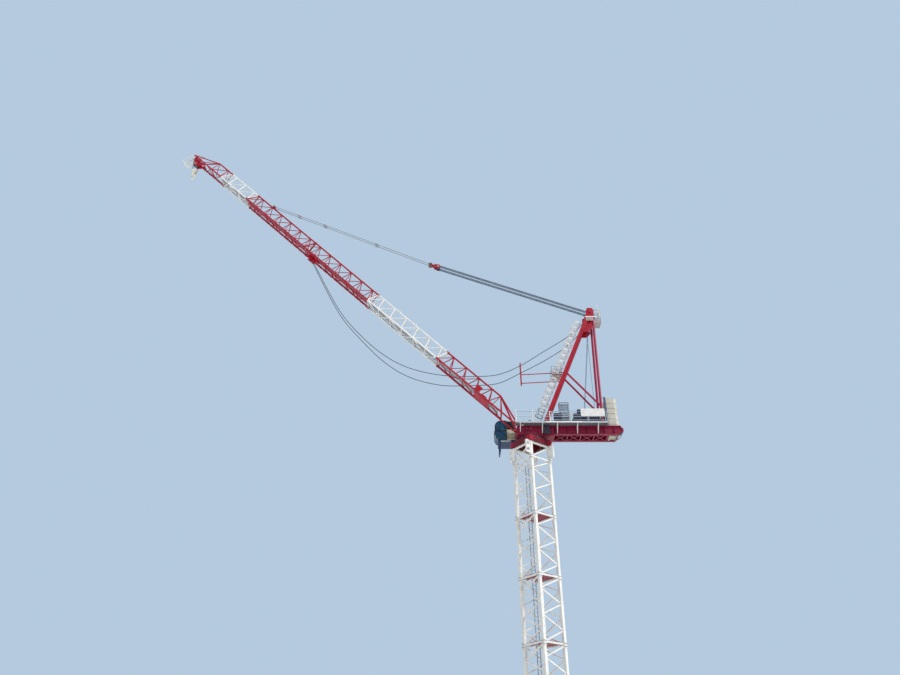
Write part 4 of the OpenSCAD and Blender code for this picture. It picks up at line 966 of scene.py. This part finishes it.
bm = bmesh.new()
leg_x, leg_z = -0.352, 3.5165
for x in (leg_x + 0.024, leg_x + 0.114):
    for y in (-0.045, 0.045):
        rod(bm, (x, y, leg_z), (x, y, leg_z + 0.1), 0.0045, 6)
for z in (0.035, 0.07, 0.1):
    for y in (-0.045, 0.045):
        rod(bm, (leg_x + 0.024, y, leg_z + z), (leg_x + 0.114, y, leg_z + z), 0.0035, 6)
for k in range(9):
    slab(bm, (leg_x + 0.026 + 0.011 * k, 0, leg_z - 0.0012), (0.002, 0.09, 0.0028))
for y in (0.0465, -0.0465):
    slab(bm, (leg_x + 0.0695, y, leg_z + 0.008), (0.094, 0.0015, 0.016))
keep(bm, "ladder_landing", "slewing_part", RUST)

bm = bmesh.new()
for side in (-1, 1):
    for t in (0.12, 0.28, 0.45, 0.65, 0.88):
        x, y, z = -0.12 - 0.51 * t, side * (0.068 - 0.01 * t), 2.975 + 1.19 * t
        slab(bm, (x, y + side * 0.0205, z), (0.02, 0.0025, 0.03), bevel=0.0005)
    rod(bm, (-0.145, side * 0.0895, 3.0), (-0.585, side * 0.0815, 4.03), 0.004, 6)
keep(bm, "leg_conduits", "slewing_part", RED)

# %% [markdown]
# ## Luffing tackle and hoist tackle
# The ropes lie half round each sheave. Half rings join the straight falls at the head, at the floating
# block, at the jib tip and in the hook block, each on the body its sheave belongs to.

# %% Rope round the sheaves
def half_ring(bm, place, radius, width, y, start, end, steps=14):
    """A bent rod round Y in place's frame, from angle start to end, measured from X towards Z."""
    rings = []
    for k in range(steps + 1):
        turn = start + (end - start) * k / steps
        out = Vector((math.cos(turn), 0, math.sin(turn)))
        mid = out * radius + Vector((0, y, 0))
        rings.append([bm.verts.new(place @ (mid + width / 2 * (out * math.cos(math.tau * j / 6) +
                                                               Vector((0, math.sin(math.tau * j / 6), 0)))))
                      for j in range(6)])
    for low, high in zip(rings, rings[1:]):
        for j in range(6):
            bm.faces.new((low[j], high[j], high[(j + 1) % 6], low[(j + 1) % 6]))
    bm.faces.new(rings[0])
    bm.faces.new(rings[-1][::-1])


LUG = JIB @ Vector((3.767, 0, 0.165))
BLOCK_PIN = LUG + (APEX - LUG).normalized() * 1.917 - Vector((0, 0, 0.06))
FALLS = (BLOCK_PIN - APEX).normalized()
BLOCK_AXIS = BLOCK_PIN - FALLS * 0.09
FALLS_TURN = Matrix.Rotation(-math.atan2(FALLS.z, FALLS.x), 4, "Y")
UP_FALLS = math.pi / 2
for name, axis, body, start in (("head_rope_turns", APEX, "head_tackle", UP_FALLS),
                                ("block_rope_turns", BLOCK_AXIS, "block", -UP_FALLS)):
    bm = bmesh.new()
    for k in range(5):
        half_ring(bm, Matrix.Translation(axis) @ FALLS_TURN, 0.0201, 0.003, (k - 2) * 0.008, start,
                  start + math.pi)
    keep(bm, name, body, TAUT, smooth=True)
HOOK_HUB = TIP - Vector((0, 0, 0.105))
for name, axis, body, start in (("tip_rope_turns", TIP, "hoist_tackle", 0.0),
                                ("hook_rope_turns", HOOK_HUB, "hook_body", math.pi)):
    bm = bmesh.new()
    for y in (-0.008, 0.008):
        half_ring(bm, Matrix.Translation(axis), 0.0291, 0.003, y, start, start + math.pi)
    keep(bm, name, body, TAUT, smooth=True)

# %% Block and pendant fittings
PENDANT_TURN = Matrix.Rotation(-math.atan2((LUG - BLOCK_PIN).z, (LUG - BLOCK_PIN).x), 4, "Y")
RUN = (LUG - BLOCK_PIN).length
LINK_SHARES = (0.33, 0.66, 0.83)
bars = Matrix.Translation(BLOCK_PIN) @ PENDANT_TURN
places = []
for side in (-1, 1):
    for t in LINK_SHARES:
        places.append(spot(bars, (t * RUN, side * 0.02, 0), (0, side, 0)))
        places.append(spot(bars, (t * RUN, side * 0.012, 0), (0, -side, 0)))
repeat("pendant_pins", places, bolt(0.008), "pendant_bars", GREY)

bm = bmesh.new()
for side in (-1, 1):
    for t in LINK_SHARES:
        for off in (-0.0048, 0.0048):
            slab(bm, (t * RUN, side * 0.016 + off, 0), (0.046, 0.0016, 0.011), bars)
    for end in (0.045, RUN - 0.03):
        rod(bm, (end - 0.014, side * 0.016, 0), (end + 0.014, side * 0.016, 0), 0.0075, 10, place=bars)
keep(bm, "pendant_links", "pendant_bars", ZINC)

block_at = Matrix.Translation(BLOCK_PIN) @ FALLS_TURN
places = []
for side in (-1, 1):
    for x, z in ((-0.052, 0.007), (-0.052, -0.007), (-0.076, 0.012), (-0.076, -0.012)):
        places.append(spot(block_at, (x, side * 0.029, z), (0, side, 0)))
repeat("block_bolts", places, bolt(0.005), "block", GREY)

bm = bmesh.new()
for side in (-1, 1):
    turned(bm, [(0.011, 0), (0.011, 0.002), (0.007, 0.003), (0, 0.003)],
           block_at @ at(-0.09, side * 0.029, 0) @ outwards(side), 16)
    slab(bm, (-0.048, side * 0.0225, 0.0135), (0.01, 0.012, 0.003), block_at)
keep(bm, "block_caps", "block", GREY, smooth=True)

# %% [markdown]
# ## Jib
# Flanged sockets and pins join the sections at their chords. Small white clamps carry the cables along the
# lower chord, and white brackets on the top chord are the rests for the pendants when the jib lies down.
# The CAD model hangs the inner sheave under the jib, but the photo shows nothing there, so a housing inside
# the jib stands for it. Side plates and a grating walkway fill the foot around it.

# %% Inner sheave and foot walkway
INNER = 0.459
bm = bmesh.new()
slab(bm, (INNER, 0, -0.0049), (0.18, 0.11, 0.003), JIB)
for side in (-1, 1):
    slab(bm, (INNER, side * 0.022, 0.0182), (0.06, 0.006, 0.0432), JIB, 0.001)
    slab(bm, (INNER, side * 0.0285, 0.002), (0.05, 0.008, 0.0105), JIB)
turned(bm, [(0.005, -0.024), (0.005, -0.005), (0.019, -0.005), (0.016, -0.002), (0.016, 0.002),
            (0.019, 0.005), (0.005, 0.005), (0.005, 0.024)], JIB @ at(INNER, 0, 0.0205) @ FACE_Y, 28)
housing = keep(bm, "inner_sheave_housing", "jib", RED)
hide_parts("jib_sheave_inner")
bm = bmesh.new()
for side in (-1, 1):
    slab(bm, (0.536, side * 0.0635, 0.033), (0.062, 0.0035, 0.072), JIB, 0.001)
    slab(bm, (0.536, side * 0.0655, 0.033), (0.03, 0.0015, 0.05), JIB)
keep(bm, "foot_side_plates", "jib", RED)
bm = bmesh.new()
for s0, s1 in ((0.26, 0.42), (0.5, 1.03)):
    for y in (-0.0255, 0.0255):
        slab(bm, ((s0 + s1) / 2, y, 0.0085), (s1 - s0, 0.0016, 0.009), JIB)
    for k in range(int((s1 - s0) / 0.0083)):
        slab(bm, (s0 + 0.003 + 0.0083 * k, 0, 0.0062), (0.0035, 0.05, 0.0028), JIB)
    for k in range(4):
        slab(bm, ((s0 + s1) / 2, -0.018 + 0.012 * k, 0.0046), (s1 - s0, 0.0016, 0.002), JIB)
keep(bm, "foot_walkway", "jib", ZINC)

# %% Jib details
CHORDS = ((-HALF, 0.0), (HALF, 0.0), (0.0, 0.15))
bm = bmesh.new()
for s in JOINTS:
    for y, n in CHORDS:
        for off in (-0.0075, 0.0075):
            turned(bm, [(0.0085, -0.006), (0.0105, -0.0045), (0.0105, 0.0045), (0.0085, 0.006)],
                   JIB @ at(s + off, y, n) @ FACE_X, 14)
keep(bm, "jib_sockets", "jib", RED, smooth=True)
places = []
for s in JOINTS:
    for y, n in CHORDS:
        for off in (-0.0075, 0.0075):
            places.append(spot(JIB, (s + off, y, n + 0.01), (0, 0, 1)))
            places.append(spot(JIB, (s + off, y, n - 0.01), (0, 0, -1)))
repeat("jib_pins", places, bolt(0.0055), "jib", GREY)

places = [spot(JIB, (1.09 + 0.083 * k, -HALF, -0.0085), (0, 0, -1)) for k in range(46)]
bm = bmesh.new()
slab(bm, (0, 0, 0), (0.011, 0.011, 0.0035))
slab(bm, (0, 0.003, -0.003), (0.008, 0.007, 0.007))
repeat("cable_clamps", places, bm, "jib", WHITE)
bm = bmesh.new()
for y, n in ((-0.064, 0.0062), (-0.058, 0.0062)):
    rod(bm, JIB @ Vector((0.22, y, n)), JIB @ Vector((4.94, y, n)), 0.0035, 6)
keep(bm, "jib_cables", "jib", RUBBER)

bm = bmesh.new()
for s in (2.25, 2.39, 2.66, 2.8, 1.5, 1.72, 3.2, 3.4):
    for y in (-0.016, 0.016):
        slab(bm, (s, y, 0.164), (0.008, 0.003, 0.014), JIB)
    slab(bm, (s, 0, 0.1575), (0.008, 0.035, 0.003), JIB)
keep(bm, "pendant_rests", "jib", WHITE)

bm = bmesh.new()
for s0, s1 in ((1.04, 2.036), (2.036, 3.032), (3.032, 4.028), (4.028, 4.526)):
    for y in (-0.026, 0.026):
        slab(bm, ((s0 + s1) / 2, y, 0.0095), (s1 - s0 - 0.018, 0.0016, 0.008), JIB)
    for k in range(int((s1 - s0) / 0.0415)):
        slab(bm, (s0 + 0.02 + 0.0415 * k, 0, 0.0078), (0.002, 0.05, 0.003), JIB)
keep(bm, "jib_walkway_edges", "jib", GRATE)

bm = bmesh.new()
for y in (-0.03, 0.03):
    slab(bm, (4.97, y, 0.024), (0.03, 0.02, 0.012), JIB, 0.002)
rod(bm, JIB @ Vector((4.99, 0.0, 0.02)), JIB @ Vector((5.0, 0.0, 0.07)), 0.003, 8)
turned(bm, [(0.004, 0), (0.007, 0.003), (0.007, 0.013), (0, 0.017)], JIB @ at(5.0, 0, 0.068), 14)
keep(bm, "tip_lamps", "jib", RED, smooth=True)
places = []
for side in (-1, 1):
    for s, n in ((4.885, 0.01), (4.91, -0.01), (4.95, -0.025), (5.0, 0.01), (5.0, -0.02), (4.93, 0.012)):
        places.append(spot(JIB, (s, side * 0.031, n), (0, side, 0)))
repeat("tip_bolts", places, bolt(0.006), "jib", GREY)
bm = bmesh.new()
for side in (-1, 1):
    turned(bm, [(0.013, 0), (0.013, 0.0025), (0.009, 0.0035), (0, 0.0035)],
           JIB @ at(4.959, side * 0.031, -0.055) @ outwards(side), 18)
keep(bm, "tip_caps", "jib", GREY, smooth=True)

# %% [markdown]
# ## Hook block
# Heavy cheek plates keep the ropes in the grooves and add weight, so that the empty hook still runs down.
# The hook has a sprung latch and a round nut on top of the yoke.

# %% Hook details
bm = bmesh.new()
hub = HOOK_HUB
for side in (-1, 1):
    face = at(hub.x, side * 0.0215, hub.z) @ outwards(side)
    turned(bm, [(0.025, 0), (0.025, 0.0035), (0.022, 0.005), (0, 0.005)], face, 28)
    turned(bm, [(0.009, 0.0045), (0.009, 0.008), (0.006, 0.009), (0, 0.009)], face, 16)
    plate(bm, [(-0.018, -0.058), (0.018, -0.058), (0.018, -0.02), (-0.018, -0.02)], 0.003,
          at(hub.x, side * 0.023, hub.z) @ FACE_Y)
keep(bm, "hook_cheeks", "hook_body", HOOK_CREAM, smooth=True)
places = []
for side in (-1, 1):
    for x, z in ((-0.012, -0.052), (0.012, -0.052), (-0.012, -0.03), (0.012, -0.03)):
        places.append(((hub.x + x, side * 0.0245, hub.z + z), (0, side, 0)))
repeat("hook_bolts", places, bolt(0.005), "hook_body", GREY)
bm = bmesh.new()
bowl = TIP - Vector((0, 0, 0.207))
for y in (0.006, -0.006):
    rod(bm, bowl + Vector((0.002, y, 0.022)), bowl + Vector((0.016, y, 0.004)), 0.0022, 6)
rod(bm, bowl + Vector((0.003, -0.0075, 0.021)), bowl + Vector((0.003, 0.0075, 0.021)), 0.003, 8)
rod(bm, bowl + Vector((0.016, -0.007, 0.004)), bowl + Vector((0.016, 0.007, 0.004)), 0.0024, 6)
keep(bm, "hook_latch", "hook_part", HOOK_STEEL)

# %% [markdown]
# ## Cab
# Dark seals frame the rounded glass, a bar crosses it at mid height, and the cream rear has a door with its
# own window on each side. Seat, console and lamps are inside and on the roof.

# %% Cab details
CAB = Vector((0.111, -0.182, 2.925))
CAB_HIGH, CAB_LONG, SPLIT, NOSE = 0.195, 0.198, 0.095, 0.06
CAB_BAR, NOSE_X, NOSE_STEPS = 0.092, CAB_LONG - NOSE, 6
bends = [math.pi / 2 * k / NOSE_STEPS for k in range(NOSE_STEPS + 1)]
front = [(SPLIT, 0.0)]
front += [(NOSE_X + NOSE * math.sin(bend), NOSE - NOSE * math.cos(bend)) for bend in bends]
front += [(NOSE_X + NOSE * math.cos(bend), CAB_HIGH - NOSE + NOSE * math.sin(bend)) for bend in bends]
front += [(SPLIT, CAB_HIGH)]
bm = bmesh.new()
for side in (-1, 1):
    y = CAB.y + side * 0.0695
    for a, b in zip(front, front[1:]):
        rod(bm, (CAB.x + a[0], y, CAB.z + a[1]), (CAB.x + b[0], y, CAB.z + b[1]), 0.0055, 6)
    slab(bm, (CAB.x + SPLIT, y + side * 0.0006, CAB.z + CAB_HIGH / 2), (0.007, 0.002, CAB_HIGH))
    slab(bm, (CAB.x + (SPLIT + CAB_LONG) / 2, y + side * 0.0006, CAB.z + CAB_BAR),
         (CAB_LONG - SPLIT, 0.002, 0.007))
slab(bm, (CAB.x + CAB_LONG + 0.0002, CAB.y, CAB.z + CAB_BAR), (0.002, 0.14, 0.007))
slab(bm, (CAB.x + SPLIT, CAB.y, CAB.z + CAB_HIGH), (0.007, 0.14, 0.003))
slab(bm, (CAB.x + NOSE_X, CAB.y, CAB.z + CAB_HIGH), (0.004, 0.14, 0.002))
wiper_x = CAB.x + CAB_LONG + 0.002
rod(bm, (wiper_x, CAB.y + 0.03, CAB.z + CAB_BAR), (wiper_x, CAB.y - 0.01, CAB.z + 0.13), 0.002, 6)
keep(bm, "cab_seals", "slewing_part", RUBBER)

bm = bmesh.new()
for side in (-1, 1):
    y = CAB.y + side * 0.0703
    slab(bm, (CAB.x + 0.048, y, CAB.z + 0.146), (0.086, 0.0016, 0.082), bevel=0.0006)
    slab(bm, (CAB.x + 0.048, y + side * 0.0008, CAB.z + 0.146), (0.074, 0.001, 0.07))
keep(bm, "cab_side_windows", "slewing_part", DARK_GLASS)
bm = bmesh.new()
for side in (-1, 1):
    y = CAB.y + side * 0.0703
    slab(bm, (CAB.x + 0.048, y, CAB.z + 0.038), (0.084, 0.0016, 0.062), bevel=0.0006)
    slab(bm, (CAB.x + 0.075, y + side * 0.0015, CAB.z + 0.078), (0.012, 0.003, 0.003))
    out = y + side * 0.006
    for x in (CAB.x + 0.008, CAB.x + 0.09):
        rod(bm, (x, out, CAB.z + 0.02), (x, out, CAB.z + 0.15), 0.0025, 6)
        for z in (CAB.z + 0.02, CAB.z + 0.15):
            rod(bm, (x, y, z), (x, out, z), 0.0025, 6)
slab(bm, (CAB.x - 0.001, CAB.y, CAB.z + 0.1), (0.0016, 0.09, 0.12), bevel=0.0006)
for k in range(6):
    slab(bm, (CAB.x - 0.0022, CAB.y, CAB.z + 0.06 + 0.012 * k), (0.0016, 0.07, 0.004))
keep(bm, "cab_panels", "slewing_part", OLIVE)
bm = bmesh.new()
slab(bm, (CAB.x + 0.045, CAB.y, CAB.z + CAB_HIGH + 0.008), (0.07, 0.08, 0.016), bevel=0.003)
for y in (-0.05, 0.05):
    turned(bm, [(0.006, 0), (0.009, 0.004), (0.009, 0.012), (0, 0.013)],
           at(CAB.x + 0.12, CAB.y + y, CAB.z + CAB_HIGH + 0.008) @ FACE_X, 14)
    slab(bm, (CAB.x + 0.118, CAB.y + y, CAB.z + CAB_HIGH + 0.001), (0.006, 0.006, 0.012))
keep(bm, "cab_roof_unit", "slewing_part", CREAM)
bm = bmesh.new()
slab(bm, (CAB.x + 0.12, CAB.y, CAB.z + 0.028), (0.04, 0.045, 0.02), bevel=0.004)
slab(bm, (CAB.x + 0.1, CAB.y, CAB.z + 0.065), (0.012, 0.045, 0.07), bevel=0.004)
slab(bm, (CAB.x + 0.12, CAB.y, CAB.z + 0.011), (0.02, 0.02, 0.016))
for y in (-0.032, 0.032):
    slab(bm, (CAB.x + 0.13, CAB.y + y, CAB.z + 0.03), (0.06, 0.012, 0.045), bevel=0.003)
    rod(bm, (CAB.x + 0.145, CAB.y + y, CAB.z + 0.05), (CAB.x + 0.148, CAB.y + y, CAB.z + 0.07), 0.003, 8)
slab(bm, (CAB.x + 0.1, CAB.y, CAB.z + 0.006), (0.14, 0.12, 0.003))
keep(bm, "cab_seat", "slewing_part", RUBBER)
bm = bmesh.new()
for side in (-1, 1):
    slab(bm, (0.213, CAB.y + side * 0.0705, 2.912), (0.092, 0.0016, 0.02), bevel=0.0005)
    for x in (0.175, 0.251):
        slab(bm, (x, CAB.y + side * 0.0718, 2.912), (0.004, 0.002, 0.012))
keep(bm, "cab_base_plates", "slewing_part", ZINC)

# %% [markdown]
# ## Finishes of the CAD parts
# The main parts come straight from the CAD model. Each one only needs its paint.

# %% Assign finishes
FINISHES = {
    MAST_WHITE: ["base_cross", "mast_section_1", "mast_section_2", "mast_section_3", "mast_section_4",
                 "mast_section_5", "mast_head"],
    # The rear struts get the red with painted sky-lit shade.
    SKY_SHADE_RED: ["a_frame_rear_struts"],
    # The slewing seat gets the red darkened by painted shade.
    SHADED_SEAT_RED: ["slewing_seat"],
    BASE_BLUE: ["cab_base"],
    RAIL: ["railings"],
    RED: ["a_frame_front_legs", "a_frame_head", "jib_foot", "jib_section_3",
          "jib_section_4", "jib_tip", "jib_head", "jib_sheave_outer", "floating_block",
          "rope_guide_arm"],
    # These parts carry the red enamel with painted shade.
    SHADED_RED: ["slewing_platform", "counter_jib", "mast_landings", "slewing_drives"],
    WHITE: ["jib_section_2", "jib_section_5", "tip_platform"],
    DUSTY: ["head_platform"],
    TRAY: ["ballast_frame"],
    ZINC: ["centre_deck", "mesh_cabinet", "mast_ladder", "jib_walkway"],
    GRATE: ["side_walkways"],
    LADDER: ["caged_ladder"],
    NAVY: ["winch_frames", "pump_motor"],
    SHEAVE: ["slewing_gear_ring", "hoist_winch_drum", "luffing_winch_drum", "tip_sheaves", "block_sheaves",
             "head_sheaves"],
    SIGN: ["sign_board"],
    CONCRETE: ["ballast_blocks"],
    CREAM: ["cab_body"],
    GLASS: ["cab_glass"],
    PENDANT: ["pendants"],
    HOOK_CREAM: ["hook_block", "hook"],
}
for material, names in FINISHES.items():
    for name in names:
        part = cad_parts[name]
        part.data.materials.clear()
        part.data.materials.append(material)
        part.data.polygons.foreach_set("material_index", [0] * len(part.data.polygons))


def second_finish(name, material, wanted):
    """Gives the faces of a CAD part whose middle passes the wanted test a second finish."""
    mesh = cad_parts[name].data
    mesh.materials.append(material)
    for face in mesh.polygons:
        if wanted(face.center):
            face.material_index = len(mesh.materials) - 1


def along_jib(point):
    return (JIB.inverted() @ point).x


second_finish("side_walkways", WHITE, lambda p: p.z < 2.9705 or abs(p.y) > 0.1545 and p.x < -0.13)
second_finish("caged_ladder", ZINC, lambda p: (p - LADDER_LOW).dot(LADDER_RUN) < 0.15 * LADDER_RUN.length)
second_finish("a_frame_front_legs", DUSTY, lambda p: 4.06 < p.z < 4.164 and abs(p.y) < 0.04 and p.x < -0.6)
# The tall posts of the ballast frame get painted shade.
second_finish("ballast_frame", SHADE, lambda p: p.z > 2.99)
second_finish("jib_walkway", RED, lambda p: 2.036 < along_jib(p) < 4.028)
unpainted = set(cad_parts) - {n for names in FINISHES.values() for n in names}
print("CAD parts replaced by pieces:", sorted(unpainted))

# %% [markdown]
# ## Floor and light
# A pale floor takes the shadow. A wide soft sun from above the camera's right shoulder and an even pale
# world light the crane, and rays that only see the background get a paler one.

# %% Stage
bm = bmesh.new()
bmesh.ops.create_grid(bm, x_segments=1, y_segments=1, size=60)
floor_mesh = bpy.data.meshes.new("floor")
bm.to_mesh(floor_mesh)
bm.free()
floor = add("floor", floor_mesh)
floor.location.z = -0.002
floor_paint, t, shader = new_material("floor_paint")
shader.inputs["Base Color"].default_value = (0.8, 0.8, 0.8, 1)
shader.inputs["Roughness"].default_value = 0.9
floor_mesh.materials.append(floor_paint)
floor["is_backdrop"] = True

world = bpy.data.worlds.new("studio")
bpy.context.scene.world = world
world.use_nodes = True
world.node_tree.nodes.clear()
w = Tree(world.node_tree)
light_path = w.node("ShaderNodeLightPath")
seen = w.math("MAXIMUM", light_path.outputs["Is Camera Ray"], light_path.outputs["Is Glossy Ray"])
seen = w.math("MAXIMUM", seen, light_path.outputs["Is Transmission Ray"])
soft = w.node("ShaderNodeBackground", Color=(0.93, 0.96, 1.0, 1), Strength=0.55)
pale = w.node("ShaderNodeBackground", Color=(0.46, 0.59, 0.73, 1), Strength=1.0)
both = w.node("ShaderNodeMixShader", i0=seen, i1=soft.outputs[0], i2=pale.outputs[0])
w.node("ShaderNodeOutputWorld", Surface=both.outputs[0])

sun_data = bpy.data.lights.new("sun", "SUN")
sun_data.energy = 2.35
sun_data.angle = math.radians(12)
sun_data.color = (1.0, 0.98, 0.95)
sun = add("sun", sun_data)
sun.rotation_euler = Vector((-0.8, 0.45, 0.95)).to_track_quat("Z", "Y").to_euler()
bpy.context.scene.view_settings.view_transform = "Standard"

# %% [markdown]
# ## Sizes
# The box round the dressed crane, floor left out, is printed. The dressed crane has to stay in the
# CAD model's box.

low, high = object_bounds()
print("visual", [round(v, 3) for v in (*low, *high)])
